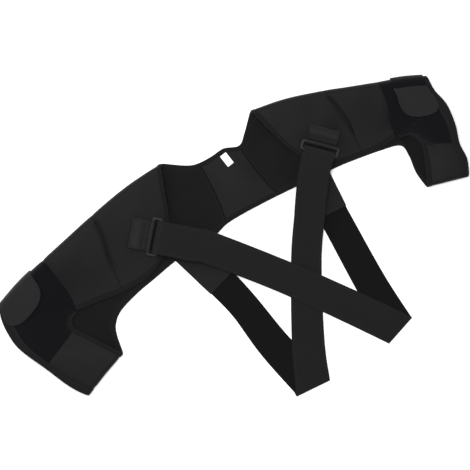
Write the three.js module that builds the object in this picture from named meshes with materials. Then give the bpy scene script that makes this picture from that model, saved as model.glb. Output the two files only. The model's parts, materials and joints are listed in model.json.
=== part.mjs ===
// A double shoulder brace of black neoprene, lying flat with its chest panels up.
// Millimetres, +Z up. X runs along the shoulders, Y towards the neck, and the brace rests on Z = 0.
import * as THREE from "three";

// Driving sizes of the neoprene body
const reach = 375; // middle of the neckline to the open end of a cuff
const depth = 150; // from the hem's zero line up to the shoulder line, the unit of every V share
const wall = 2.5; // neoprene panel
const trim = 0.6; // what a bound edge is thicker than its panel
const clearance = 0.3; // between pieces that touch
const jointGap = 0.6; // between panels that are sewn edge to edge
const hiddenJoint = 2; // gap of the joint between the back and a fold, which lies out of sight
const bindingWidth = 5.5; // bound edge
const cuffHemWidth = 12; // band round a cuff's open end
const foldHeight = 22; // outer height of the shoulder fold
const underarmHeight = 15; // outer height of the underarm fold
const backDome = 6; // how far the back's middle piece bulges
const cuffDome = 3; // how far a cuff's top layer bulges at its open end

// Driving sizes of the closing tabs and the label
const tabThickness = 1.6;
const tabLength = 50; // from the shoulder line to the tab's round end
const tabBandLength = 17; // the darker band above the right tab's round piece
const labelWidth = 11;
const labelLength = 20;
const labelThickness = 0.5;
const tabSeat = 0.6; // under a closing tab
const tabSquareness = 2.4; // how square the tab's round end is
const tabSideShare = 0.45; // share of the tab's length where its sides are straight
const labelPlace = { x: 0.104, v: 0.72, along: [0.98, 0.2] };

// Driving sizes of the straps, their anchors, webbing tabs and buckles
const strapWidth = 50;
const strapThickness = 1.6;
const strapTail = 97; // free end under the strap, from the buckle
const strapDrop = 260; // how far the straps reach below the hem's zero line
const anchorThickness = 1.2;
const anchorExtra = 2; // an anchor is this much wider than its strap
const webbingThickness = 1.4;
const webbingWidth = 47;
const webbingLength = 28; // visible length of a webbing tab
const buckleBar = 4.2;
const buckleThickness = 3.6;
const buckleSpan = 12; // between the middles of a buckle's two long bars
const buckleEdge = 0.7; // rounded edge of the moulding
const turnSlack = 0.15; // how loosely a band goes round a bar

// How a strap lies on what it crosses
const settleRadius = 16; // how far round itself a strap clears what it lies on
const steepest = 0.15; // slope of a strap where it hangs free

// Rows of the tables where panels meet
const dartRow = 2;
const patchRow = 4;
const cuffEnd = 2;
const seamHalf = 0.016; // half of a back seam's gap, in rows
const neckStep = 0.12; // half the width, in rows, of the step beside a corner of the back
const bindingStart = 0.16; // rows of the back left free beside a corner
const backCells = 6; // cells of the back from its upper edge to its hem

// Colours, as seen under soft light
const look = {
  neoprene: { color: 0x17181a, roughness: 0.82 },
  binding: { color: 0x121315, roughness: 0.85 },
  loop: { color: 0x0c0d11, roughness: 0.97 },
  hook: { color: 0x202124, roughness: 0.8 },
  elastic: { color: 0x232426, roughness: 0.85 },
  webbing: { color: 0x1b1c1e, roughness: 0.55 },
  plastic: { color: 0x0e0e0f, roughness: 0.38 },
  label: { color: 0xe9e9e6, roughness: 0.7 },
};

// A table: named columns, and a row for each section
function table(columns, rows) {
  const names = columns.split(" ");
  return rows.map((row) => Object.fromEntries(names.map((name, i) => [name, row[i]])));
}

// Front sections of the left side, from the neck edge outwards. U is a share of reach away from the
// neck and V of depth. Rise is a share of foldHeight.
const chestColumns = "name foldU foldV upperU upperV lowerU lowerV hemU hemV rise";
const leftFront = table(chestColumns, [
  ["neck edge", 0.145, 0.977, 0.185, 0.647, 0.211, 0.44, 0.242, 0.239, 0.8],
  ["chest", 0.312, 0.917, 0.325, 0.613, 0.349, 0.32, 0.365, 0.027, 1],
  ["dart seam", 0.483, 0.812, 0.483, 0.547, 0.499, 0.307, 0.507, -0.017, 0.92],
  ["upper arm", 0.618, 0.713, 0.608, 0.467, 0.608, 0.24, 0.616, 0.007, 1],
  ["patch seam", 0.736, 0.627, 0.715, 0.367, 0.706, 0.147, 0.709, 0.017, 1],
]);
const rightFront = table(chestColumns, [
  ["neck edge", 0.277, 1.059, 0.31, 0.8, 0.347, 0.557, 0.416, 0.253, 0.8],
  ["chest", 0.421, 1.013, 0.448, 0.747, 0.48, 0.467, 0.507, 0.183, 0.96],
  ["dart seam", 0.573, 0.919, 0.597, 0.68, 0.61, 0.433, 0.605, 0.157, 0.92],
  ["upper arm", 0.674, 0.84, 0.685, 0.613, 0.685, 0.367, 0.683, 0.15, 1],
  ["patch seam", 0.784, 0.757, 0.781, 0.567, 0.76, 0.333, 0.757, 0.176, 1],
]);

// Cuff sections, from the patch seam and armhole out to the open end. Each row's stops run from
// the shoulder fold, past the hem corner (stop 2) and the patch's lower seam (stop 4), to the underarm.
const cuffColumns = "name u0 v0 u1 v1 u2 v2 u3 v3 u4 v4 u5 v5 u6 v6 rise underRise";
const cuffSeamStop = 4;
const cuffCornerStop = 2;
const leftCuff = table(cuffColumns, [
  ["armhole", 0.736, 0.627, 0.715, 0.367, 0.709, 0.017, 0.739, -0.04, 0.748, -0.14, 0.693, -0.32, 0.617, -0.584, 1, 0.8],
  ["middle", 0.86, 0.53, 0.855, 0.3, 0.853, 0.113, 0.857, -0.06, 0.84, -0.265, 0.781, -0.44, 0.712, -0.685, 1, 1],
  ["open end", 0.976, 0.407, 0.989, 0.267, 0.99, 0.102, 0.976, -0.079, 0.919, -0.358, 0.86, -0.65, 0.812, -0.808, 0.92, 1],
]);
const rightCuff = table(cuffColumns, [
  ["armhole", 0.784, 0.757, 0.781, 0.567, 0.757, 0.176, 0.808, 0.14, 0.836, -0.007, 0.813, -0.22, 0.783, -0.416, 1, 0.8],
  ["middle", 0.88, 0.69, 0.88, 0.493, 0.885, 0.24, 0.901, 0.08, 0.899, -0.073, 0.893, -0.28, 0.859, -0.455, 1, 1],
  ["open end", 0.971, 0.6, 0.972, 0.435, 0.991, 0.248, 0.987, 0.019, 0.97, -0.16, 0.971, -0.333, 0.949, -0.503, 0.92, 1],
]);

// Back sections from the left cuff's end to the right's. X is a share of reach, V of depth; bow is
// sideways, as a share of the section's length; corner rows are where the outline turns sharply.
const back = table("name topX topV hemX hemV bow corner", [
  ["left cuff", -0.88, 0.507, -0.69, -0.66, 0, false],
  ["left underarm", -0.811, 0.57, -0.617, -0.584, 0, true],
  ["left armpit", -0.76, 0.607, -0.607, -0.379, 0, false],
  ["left armpit turn", -0.699, 0.653, -0.589, -0.267, 0, false],
  ["left upper arm", -0.618, 0.713, -0.546, -0.173, 0, false],
  ["left dart", -0.483, 0.812, -0.456, -0.089, 0, false],
  ["left chest", -0.377, 0.88, -0.368, -0.033, -0.02, false],
  ["left shoulder", -0.255, 0.935, -0.271, 0.029, -0.05, false],
  ["left neck point", -0.145, 0.977, -0.17, 0.07, -0.085, true],
  ["left neckline", -0.0537, 0.842, -0.077, 0.09, -0.02, false],
  ["left seam", -0.0045, 0.809, -0.008, 0.143, 0.03, false],
  ["centre left", 0.055, 0.813, 0.064, 0.163, 0, false],
  ["centre right", 0.112, 0.832, 0.145, 0.171, 0, false],
  ["right seam", 0.173, 0.79, 0.229, 0.174, -0.03, false],
  ["right neckline", 0.2125, 0.872, 0.28, 0.175, 0.02, false],
  ["right neck point", 0.277, 1.059, 0.345, 0.175, 0.05, true],
  ["right shoulder", 0.392, 1.029, 0.42, 0.172, 0.03, false],
  ["right chest", 0.499, 0.977, 0.507, 0.17, 0.01, false],
  ["right dart", 0.573, 0.919, 0.575, 0.157, 0, false],
  ["right upper arm", 0.674, 0.84, 0.683, 0.128, 0, false],
  ["right armpit turn", 0.768, 0.768, 0.761, 0.084, 0, false],
  ["right armpit", 0.813, 0.737, 0.774, -0.053, 0, false],
  ["right armpit low", 0.845, 0.715, 0.77, -0.233, 0, false],
  ["right underarm", 0.88, 0.69, 0.783, -0.416, 0, true],
  ["right cuff", 0.93, 0.643, 0.85, -0.44, 0, false],
]);
const backRow = Object.fromEntries(back.map((row, i) => [row.name, i]));

// Strap routes, seen from above, from the buckle's far bar to the anchor. X is a share of reach and
// Y of strapDrop. Width is a share of strapWidth. The strap ends in a flat oblique fold, and runs back under.
const routeColumns = "x y width";
const routeA = {
  foldAngle: 22.5,
  top: table(routeColumns, [
    [-0.281, 0.181, 1],
    [-0.173, 0.062, 1],
    [-0.109, -0.01, 0.98],
    [0.115, -0.362, 0.98],
    [0.303, -0.688, 1.02],
    [0.431, -0.92, 1.03],
  ]),
  under: table(routeColumns, [
    [0.431, -0.92, 1.02],
    [0.409, -0.6, 0.96],
    [0.396, -0.2, 0.92],
    [0.393, -0.06, 0.92],
  ]),
  anchor: table(routeColumns, [
    [0.393, -0.13, 0.93],
    [0.393, -0.02, 0.93],
    [0.393, 0.2, 0.93],
  ]),
};
const routeB = {
  foldAngle: 0,
  top: table(routeColumns, [
    [0.448, 0.217, 0.94],
    [0.402, 0.138, 0.94],
    [0.359, 0.046, 0.94],
    [0.305, -0.085, 0.93],
    [0.215, -0.3127, 0.93],
    [0.0784, -0.743, 1],
    [0.013, -1, 1.07],
  ]),
  under: table(routeColumns, [
    [0.013, -1, 1.04],
    [-0.0523, -0.6785, 1],
    [-0.092, -0.405, 0.92],
    [-0.131, -0.22, 0.95],
    [-0.149, -0.15, 0.95],
  ]),
  anchor: table(routeColumns, [
    [-0.131, -0.215, 0.96],
    [-0.16, -0.107, 0.96],
    [-0.216, 0.109, 0.96],
  ]),
};

// Small helpers
const mix = (a, b, f) => a + (b - a) * f;
const clamp = (x, low, high) => Math.min(Math.max(x, low), high);
const ease = (x) => (1 - Math.cos(Math.PI * clamp(x, 0, 1))) / 2;
const steps = (from, to, count) => Array.from({ length: count + 1 }, (_, i) => mix(from, to, i / count));
const plan = (xShare, vShare) => new THREE.Vector2(xShare * reach, vShare * depth);

// A smooth value between the rows of a list, which turns sharply at its corner rows
function between(rows, at, value, isCorner = () => false) {
  const i = clamp(Math.floor(at), 0, rows.length - 2);
  const f = at - i;
  const b = value(rows[i]);
  const c = value(rows[i + 1]);
  const a = i > 0 && !isCorner(rows[i]) ? value(rows[i - 1]) : 2 * b - c;
  const d = i < rows.length - 2 && !isCorner(rows[i + 1]) ? value(rows[i + 2]) : 2 * c - b;
  return b + 0.5 * f * (c - a + f * (2 * a - 5 * b + 4 * c - d + f * (3 * (b - c) + d - a)));
}

// A section's line on the plan, measured from its start along its length
class Line {
  constructor(points, samples = 48) {
    const curve = new THREE.SplineCurve(points);
    this.stops = points.length - 1;
    this.points = curve.getPoints(samples);
    this.lengths = [0];
    for (let i = 1; i <= samples; i++) {
      this.lengths.push(this.lengths[i - 1] + this.points[i].distanceTo(this.points[i - 1]));
    }
    this.length = this.lengths[samples];
  }

  at(distance) {
    let i = 1;
    while (i < this.lengths.length - 1 && this.lengths[i] < distance) i++;
    const f = (distance - this.lengths[i - 1]) / (this.lengths[i] - this.lengths[i - 1]);
    return this.points[i - 1].clone().lerp(this.points[i], f);
  }

  toStop(stop) {
    return this.lengths[Math.round((stop / this.stops) * (this.lengths.length - 1))];
  }
}

// Closed solids from grids of points
function closedSurface(points, triangles) {
  const volume = triangles.reduce((sum, [a, b, c]) => {
    return sum + points[a].dot(points[b].clone().cross(points[c]));
  }, 0);
  const faces = volume < 0 ? triangles.map(([a, b, c]) => [a, c, b]) : triangles;
  const geometry = new THREE.BufferGeometry();
  geometry.setAttribute("position", new THREE.Float32BufferAttribute(points.flatMap((p) => p.toArray()), 3));
  geometry.setIndex(faces.flat());
  geometry.computeVertexNormals();
  return geometry;
}

// A wall of one thickness about rows of points on its middle surface. A ring's last column joins its
// first. Tangents, where they are given, say how each point moves from row to row.
function sheet(grid, thickness, { ring = false, tangents = null } = {}) {
  const rows = grid.length;
  const columns = grid[0].length;
  const next = (j) => (ring ? (j + 1) % columns : Math.min(j + 1, columns - 1));
  const last = (j) => (ring ? (j + columns - 1) % columns : Math.max(j - 1, 0));
  const offset = (i, j, side) => {
    const fromRows = grid[Math.min(i + 1, rows - 1)][j].clone().sub(grid[Math.max(i - 1, 0)][j]);
    const along = tangents ? tangents[i][j].clone() : fromRows;
    const across = grid[i][next(j)].clone().sub(grid[i][last(j)]);
    const normal = along.cross(across).normalize();
    return grid[i][j].clone().addScaledVector(normal, (side * thickness) / 2);
  };
  const points = [];
  for (const side of [1, -1]) {
    for (let i = 0; i < rows; i++) {
      for (let j = 0; j < columns; j++) points.push(offset(i, j, side));
    }
  }
  const id = (layer, i, j) => layer * rows * columns + i * columns + (j % columns);
  const triangles = [];
  const quad = (a, b, c, d) => triangles.push([a, b, c], [a, c, d]);
  const cells = ring ? columns : columns - 1;
  for (let i = 0; i < rows - 1; i++) {
    for (let j = 0; j < cells; j++) {
      quad(id(0, i, j), id(0, i, j + 1), id(0, i + 1, j + 1), id(0, i + 1, j));
      quad(id(1, i, j), id(1, i + 1, j), id(1, i + 1, j + 1), id(1, i, j + 1));
    }
  }
  for (let j = 0; j < cells; j++) {
    quad(id(0, 0, j), id(1, 0, j), id(1, 0, j + 1), id(0, 0, j + 1));
    quad(id(0, rows - 1, j), id(0, rows - 1, j + 1), id(1, rows - 1, j + 1), id(1, rows - 1, j));
  }
  if (!ring) {
    for (let i = 0; i < rows - 1; i++) {
      quad(id(0, i, 0), id(0, i + 1, 0), id(1, i + 1, 0), id(1, i, 0));
      quad(id(0, i, columns - 1), id(1, i, columns - 1), id(1, i + 1, columns - 1), id(0, i + 1, columns - 1));
    }
  }
  return closedSurface(points, triangles);
}

// A sheet through the rows of a surface, with the surface's own slope at each, so that pieces that are
// sewn edge to edge meet square
const slopeStep = 0.02;
function swept(rowAt, places, thickness, options = {}) {
  const tangents = places.map((at) => {
    const after = rowAt(at + slopeStep);
    return rowAt(at - slopeStep).map((point, j) => after[j].clone().sub(point));
  });
  return sheet(places.map(rowAt), thickness, { ...options, tangents });
}

// The pile of what has been laid down so far, which tells how high it is above a point on the plan
class Pile {
  constructor() {
    this.faces = [];
  }

  add(geometry) {
    const position = geometry.getAttribute("position");
    const index = geometry.index ? geometry.index.array : [...Array(position.count).keys()];
    for (let i = 0; i < index.length; i += 3) {
      const [a, b, c] = [0, 1, 2].map((k) => new THREE.Vector3().fromBufferAttribute(position, index[i + k]));
      const area = (b.x - a.x) * (c.y - a.y) - (b.y - a.y) * (c.x - a.x);
      if (area > 0) this.faces.push({ a, b, c, area });
    }
  }

  top(x, y) {
    let highest = 0;
    for (const { a, b, c, area } of this.faces) {
      const wb = ((x - a.x) * (c.y - a.y) - (y - a.y) * (c.x - a.x)) / area;
      const wc = ((b.x - a.x) * (y - a.y) - (b.y - a.y) * (x - a.x)) / area;
      if (wb < 0 || wc < 0 || wb + wc > 1) continue;
      highest = Math.max(highest, a.z + wb * (b.z - a.z) + wc * (c.z - a.z));
    }
    return highest;
  }

  // The highest place within a radius of a point
  near(x, y, radius) {
    const round = steps(0, 2 * Math.PI, 12).slice(1);
    const rings = [radius / 3, (radius * 2) / 3, radius].flatMap((r) => {
      return round.map((angle) => [r * Math.cos(angle), r * Math.sin(angle)]);
    });
    return Math.max(this.top(x, y), ...rings.map(([dx, dy]) => this.top(x + dx, y + dy)));
  }
}

const brace = new THREE.Group();
const pile = new Pile();

function piece(name, geometry, material) {
  const settings = look[material];
  const mesh = new THREE.Mesh(geometry, new THREE.MeshStandardMaterial({ ...settings, metalness: 0 }));
  mesh.name = name;
  brace.add(mesh);
  return mesh;
}

// What lies under the hem lifts the back a little: its two strap anchors
const liftMargin = 20; // level stretch round an anchor
const liftRamp = 26; // and the slope beyond it
const anchorPlaces = [routeA, routeB].map(({ anchor }) => {
  return anchor.map((row) => new THREE.Vector2(row.x * reach, row.y * strapDrop));
});
function lift(x, y) {
  const distances = anchorPlaces.map(([, from, to]) => {
    const point = new THREE.Vector2(x, y);
    const along = to.clone().sub(from);
    const f = clamp(point.clone().sub(from).dot(along) / along.lengthSq(), 0, 1);
    return point.distanceTo(from.clone().addScaledVector(along, f));
  });
  const nearest = Math.min(...distances) - strapWidth / 2 - liftMargin;
  return (anchorThickness + clearance) * (1 - ease(nearest / liftRamp));
}

// Folds, seen in section: a half round between the layer on the table and the layer above it
const foldRadius = (height) => (height - wall) / 2;
const foldInset = (height) => height / 2;
const foldSteps = 6;
function foldSection(height, stretch) {
  const radius = foldRadius(height);
  return steps(-Math.PI / 2, Math.PI / 2, foldSteps).map((angle) => ({
    distance: (foldInset(height) - radius * Math.cos(angle)) * stretch,
    z: height / 2 + radius * Math.sin(angle),
  }));
}

// Height of the upper layer's middle where it lies on the back
const restHeight = wall + trim + clearance + (wall + trim) / 2;

// A side's front and cuff, laid out from its two tables; side is -1 on the left and 1 on the right
class Side {
  constructor(side, front, cuff, tab) {
    this.side = side;
    this.tab = tab;
    this.front = front;
    this.cuff = cuff;
    this.chestKeys = [["foldU", "foldV"], ["upperU", "upperV"], ["lowerU", "lowerV"], ["hemU", "hemV"]];
    this.cuffKeys = steps(0, 6, 6).map((i) => [`u${i}`, `v${i}`]);
  }

  // A section's line and folds at a place between the rows of a table
  section(rows, keys, at) {
    const share = (key) => between(rows, at, (row) => row[key]);
    const stops = keys.map(([u, v]) => plan(this.side * share(u), share(v)));
    const line = new Line(stops);
    const step = 0.05;
    const outline = ([u, v], place) => {
      return plan(this.side * between(rows, place, (row) => row[u]), between(rows, place, (row) => row[v]));
    };
    const stretch = (key, inner, outer) => {
      const tangent = outline(key, at + step).sub(outline(key, at - step)).normalize();
      const inward = inner.clone().sub(outer).normalize();
      return 1 / Math.max(Math.abs(tangent.cross(inward)), 0.5);
    };
    const end = keys.length - 1;
    return {
      line,
      height: foldHeight * share("rise"),
      stretch: stretch(keys[0], line.at(foldHeight), stops[0]),
      underHeight: rows === this.cuff ? underarmHeight * share("underRise") : 0,
      underStretch: stretch(keys[end], line.at(line.length - underarmHeight), stops[end]),
    };
  }

  point(section, distance, z) {
    const place = section.line.at(distance);
    return new THREE.Vector3(place.x, place.y, z + (distance > foldHeight ? lift(place.x, place.y) : 0));
  }

  fold(section) {
    return foldSection(section.height, section.stretch).map(({ distance, z }) => {
      return this.point(section, distance, z);
    });
  }

  // Front panel's middle height: high at the fold, down on the back at the hem
  frontHeight(section, distance, length) {
    const inset = foldInset(section.height) * section.stretch;
    const crest = section.height - wall / 2;
    return mix(crest, restHeight, ease((distance - inset) / (length - inset)));
  }

  frontRow(at, { withFold = true, from = 0, to = 1, count = 8 } = {}) {
    const section = this.section(this.front, this.chestKeys, at);
    const length = section.line.length;
    const inset = foldInset(section.height) * section.stretch;
    const start = withFold ? inset : from(length);
    const stops = steps(start, to(length), count).slice(withFold ? 1 : 0);
    const top = stops.map((distance) => this.point(section, distance, this.frontHeight(section, distance, length)));
    return withFold ? [...this.fold(section), ...top] : top;
  }

  // Cuff's upper layer: it follows the front at the seam, and is a low dome at the open end
  cuffHeight(section, at, distance) {
    const { line, height, underHeight } = section;
    const corner = line.toStop(cuffCornerStop);
    const inset = foldInset(height) * section.stretch;
    const underInset = foldInset(underHeight) * section.underStretch;
    const crest = height - wall / 2;
    const underCrest = underHeight - wall / 2;
    const seam =
      distance < corner
        ? mix(crest, restHeight, ease((distance - inset) / (corner - inset)))
        : mix(restHeight, underCrest, ease((distance - corner) / (line.length - underInset - corner)));
    const f = (distance - inset) / (line.length - underInset - inset);
    const dome = mix(crest, underCrest, ease(f)) + cuffDome * Math.sin(Math.PI * clamp(f, 0, 1));
    return mix(seam, dome, ease(at / 1.2));
  }

  cuffPoint(section, at, distance) {
    return this.point(section, distance, this.cuffHeight(section, at, distance));
  }

  cuffSection(at) {
    return this.section(this.cuff, this.cuffKeys, at);
  }

  underFold(section) {
    return foldSection(section.underHeight, section.underStretch)
      .reverse()
      .map(({ distance, z }) => this.point(section, section.line.length - distance, z));
  }

  // Distances down a cuff section: from the fold to the hem corner, to the patch's seam, to the underarm
  cuffStops(section, part) {
    const corner = section.line.toStop(cuffCornerStop);
    const seam = section.line.toStop(cuffSeamStop);
    const start = foldInset(section.height) * section.stretch;
    const end = section.line.length - foldInset(section.underHeight) * section.underStretch;
    const seamGap = clearance / 2;
    if (part === "patch") return [...steps(start, corner, 5).slice(1), ...steps(corner, seam - seamGap, 3).slice(1)];
    if (part === "armhole") return [...steps(corner, seam - seamGap, 3).slice(1), ...steps(seam + seamGap, end, 5)];
    if (part === "lower") return steps(seam + seamGap, end, 5);
    return [...steps(start, corner, 5).slice(1), ...steps(corner, seam, 3).slice(1), ...steps(seam, end, 5).slice(1)];
  }
}

const sides = {
  left: new Side(-1, leftFront, leftCuff, { nearAt: 0.56, farAt: 1.93 }),
  right: new Side(1, rightFront, rightCuff, { nearAt: 0.5, farAt: 1.9 }),
};

// How far along a table one millimetre is, just after a row
function perMillimetre(rows, at, [u, v]) {
  const a = plan(rows[at][u], rows[at][v]);
  const b = plan(rows[at + 1][u], rows[at + 1][v]);
  return 1 / a.distanceTo(b);
}

// The back's sections
const isCorner = (row) => row.corner;
function backSection(at) {
  const value = (key) => between(back, at, (row) => row[key], isCorner);
  const top = plan(value("topX"), value("topV"));
  const hem = plan(value("hemX"), value("hemV"));
  const chord = hem.clone().sub(top);
  const sideways = new THREE.Vector2(-chord.y, chord.x).multiplyScalar(value("bow"));
  const points = steps(0, 1, 6).map((f) => {
    return top.clone().addScaledVector(chord, f).addScaledVector(sideways, 4 * f * (1 - f));
  });
  return new Line(points, 24);
}

const seamLeft = backRow["left seam"];
const seamRight = backRow["right seam"];
function backHeight(at, share) {
  const f = clamp((at - seamLeft) / (seamRight - seamLeft), 0, 1);
  return backDome * Math.sin(Math.PI * f) * mix(0.35, 1, Math.sin(Math.PI * share));
}

function backPoint(at, line, distance, thickness) {
  const place = line.at(distance);
  const z = thickness / 2 + backHeight(at, distance / line.length) + lift(place.x, place.y);
  return new THREE.Vector3(place.x, place.y, z);
}

// Where the back's upper and lower edges stop short of the outline: behind a binding or beside a fold
function backEdges(at, line) {
  const rowsBetween = (a, b) => at > backRow[a] && at < backRow[b];
  const underFold = foldInset(foldHeight) + hiddenJoint;
  const underArm = foldInset(underarmHeight) + hiddenJoint;
  const nudge = at < back.length / 2 ? 0.05 : -0.05;
  const other = backSection(at + nudge);
  const slant = (a, b, inner) => {
    const tangent = b.clone().sub(a).normalize();
    return Math.max(0.6, Math.abs(tangent.cross(inner.clone().sub(a).normalize())));
  };
  const topSlant = slant(line.at(0), other.at(0), line.at(foldHeight));
  const last = line.length;
  const hemSlant = slant(line.at(last), other.at(other.length), line.at(last - foldHeight));
  const top = rowsBetween("left neck point", "right neck point") ? bindingWidth + jointGap : underFold;
  const hem = rowsBetween("left underarm", "right underarm") ? bindingWidth + jointGap : underArm;
  return { start: top / topSlant, end: last - hem / hemSlant, topSlant, hemSlant };
}

function backRowPoints(at) {
  const line = backSection(at);
  const { start, end } = backEdges(at, line);
  return steps(start, end, backCells).map((distance) => backPoint(at, line, distance, wall));
}

// Below a cuff the back follows the cuff's own sections at the open end
function cuffBackRows(side, underarmAt) {
  const { cuffEndAt } = cuffRows(side);
  const section = side.cuffSection(cuffEndAt);
  const { line, height, stretch, underHeight, underStretch } = section;
  const start = (foldInset(height) + hiddenJoint) * stretch;
  const end = line.length - (foldInset(underHeight) + hiddenJoint) * underStretch;
  const atEnd = steps(start, end, backCells).map((distance) => side.point(section, distance, wall / 2));
  const atUnderarm = backRowPoints(underarmAt);
  return steps(0, 1, 4).map((f) => atEnd.map((point, j) => point.clone().lerp(atUnderarm[j], f)));
}

// Where a cuff's armhole binding ends and its hem begins, in rows of its table
function cuffRows(side) {
  const perStart = perMillimetre(side.cuff, 0, ["u4", "v4"]);
  const bindingEnd = bindingWidth * perStart;
  const perEnd = perMillimetre(side.cuff, 1, ["u3", "v3"]);
  const hemStart = cuffEnd - cuffHemWidth * perEnd;
  const gap = jointGap * perEnd;
  const panelStart = bindingEnd + 2 * jointGap * perStart;
  return { bindingEnd, panelStart, hemStart, gap, cuffEndAt: hemStart - gap };
}

function backRows(from, to, perRow) {
  const count = Math.round((to - from) * perRow);
  const corners = back.flatMap((row, i) => (row.corner && i > from && i < to ? [i - neckStep, i + neckStep] : []));
  const plain = steps(from, to, count).filter((at) => !corners.some((corner) => Math.abs(corner - at) < 0.3));
  return [...plain, ...corners].sort((a, b) => a - b).map(backRowPoints);
}

const underarmLeft = backRow["left underarm"];
const underarmRight = backRow["right underarm"];
const neckLeft = backRow["left neck point"];
const neckRight = backRow["right neck point"];
const leftGrid = [
  ...cuffBackRows(sides.left, underarmLeft - neckStep),
  ...backRows(underarmLeft + neckStep, seamLeft - seamHalf, 2),
];
const rightGrid = [
  ...backRows(seamRight + seamHalf, underarmRight - neckStep, 2),
  ...cuffBackRows(sides.right, underarmRight + neckStep).reverse(),
];
const backGrids = {
  back_left: leftGrid,
  back_centre: backRows(seamLeft + seamHalf, seamRight - seamHalf, 2),
  back_right: rightGrid,
};
for (const [name, grid] of Object.entries(backGrids)) {
  pile.add(piece(name, sheet(grid, wall), "neoprene").geometry);
}

function backBinding(from, to, edge) {
  const grid = steps(from + bindingStart, to - bindingStart, (to - from) * 2).map((at) => {
    const line = backSection(at);
    const { topSlant, hemSlant } = backEdges(at, line);
    const last = line.length;
    const [near, far] = edge === "neck" ? [0, bindingWidth / topSlant] : [last - bindingWidth / hemSlant, last];
    return [near, far].map((distance) => backPoint(at, line, distance, wall + trim));
  });
  return sheet(grid, wall + trim);
}
pile.add(piece("neck_binding", backBinding(neckLeft, neckRight, "neck"), "binding").geometry);
pile.add(piece("hem_binding", backBinding(underarmLeft, underarmRight, "hem"), "binding").geometry);

// Keeps a row of a piece's middle surface high enough for the piece to lie on the table
const offTable = (thickness) => (row) => row.map((point) => point.setZ(Math.max(point.z, thickness / 2)));

// Front panels of one side
function frontPanels(name, side) {
  const perMm = perMillimetre(side.front, 0, ["foldU", "foldV"]);
  const edge = bindingWidth * perMm;
  const gap = jointGap * perMm;
  const seam = gap / 2;
  const thick = wall + trim;
  const toBinding = (length) => length - bindingWidth - jointGap;
  const rowAt = (at) => side.frontRow(at, { to: toBinding });
  const bindingAt = (at) => offTable(thick)(rowAt(at));
  const hemAt = (at) => {
    return side.frontRow(at, { withFold: false, from: (l) => l - bindingWidth, to: (l) => l, count: 1 });
  };
  piece(`chest_panel_${name}`, swept(rowAt, steps(edge + gap, dartRow - seam, 7), wall), "neoprene");
  piece(`arm_panel_${name}`, swept(rowAt, steps(dartRow + seam, patchRow - seam, 6), wall), "neoprene");
  piece(`chest_binding_${name}`, swept(bindingAt, [0, edge], thick), "binding");
  piece(`front_hem_binding_${name}`, swept(hemAt, steps(0, patchRow - seam, 14), thick), "binding");
}

// Cuff panels of one side, with the armhole's binding and the hem round the open end
function cuffPanels(name, side) {
  const { bindingEnd, panelStart, hemStart, gap, cuffEndAt } = cuffRows(side);
  const aboveCorner = 5; // stops of the patch that lie above the hem corner
  const patchPoint = (f, j) => {
    const at = mix(j < aboveCorner ? gap / 2 : panelStart, cuffEndAt, f);
    const section = side.cuffSection(at);
    return side.cuffPoint(section, at, side.cuffStops(section, "patch")[j]);
  };
  const patchAt = (f) => {
    const fold = side.fold(side.cuffSection(mix(gap / 2, cuffEndAt, f)));
    const stops = side.cuffStops(side.cuffSection(1), "patch");
    return [...fold, ...stops.map((_, j) => patchPoint(f, j))];
  };
  piece(`loop_panel_${name}`, swept(patchAt, steps(0, 1, 6), wall), "loop");

  const rowAt = (at, part) => {
    const section = side.cuffSection(at);
    return side.cuffStops(section, part).map((distance) => side.cuffPoint(section, at, distance));
  };
  const withUnderarm = (at, part) => [...rowAt(at, part), ...side.underFold(side.cuffSection(at)).slice(1)];
  const lowerAt = (at) => withUnderarm(at, "lower");
  piece(`cuff_panel_${name}`, swept(lowerAt, steps(panelStart, cuffEndAt, 6), wall), "neoprene");
  const thick = wall + trim;
  const armholeAt = (at) => offTable(thick)(withUnderarm(at, "armhole"));
  piece(`armhole_binding_${name}`, swept(armholeAt, [0, bindingEnd], thick), "binding");

  const hemAt = (at) => {
    const section = side.cuffSection(at);
    const around = [...side.fold(section), ...rowAt(at, "all").slice(0, -1), ...side.underFold(section)];
    const from = section.line.length - foldInset(section.underHeight) * section.underStretch;
    const to = foldInset(section.height) * section.stretch;
    const bottom = steps(from, to, backCells).slice(1, -1).map((distance) => side.point(section, distance, wall / 2));
    return [...around, ...bottom];
  };
  piece(`cuff_hem_${name}`, swept(hemAt, [hemStart, cuffEnd], wall, { ring: true }), "binding");
}

// A closing tab lies on the cuff, and goes round the shoulder fold; from and to are its two ends,
// in millimetres down from the fold
function closingTab(side, { from, to, round }) {
  const seat = wall / 2 + tabSeat + tabThickness / 2;
  const { nearAt, farAt } = side.tab;
  const rows = steps(0, 1, 8).map((x) => {
    const at = mix(nearAt, farAt, x);
    const section = side.cuffSection(at);
    const inset = foldInset(section.height) * section.stretch;
    const roundness = Math.sqrt(1 - Math.abs(2 * x - 1) ** tabSquareness);
    const end = round ? mix(from, to, mix(tabSideShare, 1, roundness)) : to;
    const start = Math.max(from, inset);
    const onTop = steps(start, Math.max(end, start + tabThickness), 6);
    const top = onTop.map((distance) => side.cuffPoint(section, at, distance));
    return from > inset ? top : [...side.fold(section).slice(2, -1), ...top];
  });
  return sheet(raised(rows, -side.side * seat), tabThickness);
}

// A grid of points moved off its own surface
function raised(grid, distance) {
  const rows = grid.length;
  return grid.map((row, i) => {
    return row.map((point, j) => {
      const along = grid[Math.min(i + 1, rows - 1)][j].clone().sub(grid[Math.max(i - 1, 0)][j]);
      const across = row[Math.min(j + 1, row.length - 1)].clone().sub(row[Math.max(j - 1, 0)]);
      return point.clone().addScaledVector(along.cross(across).normalize(), distance);
    });
  });
}

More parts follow.
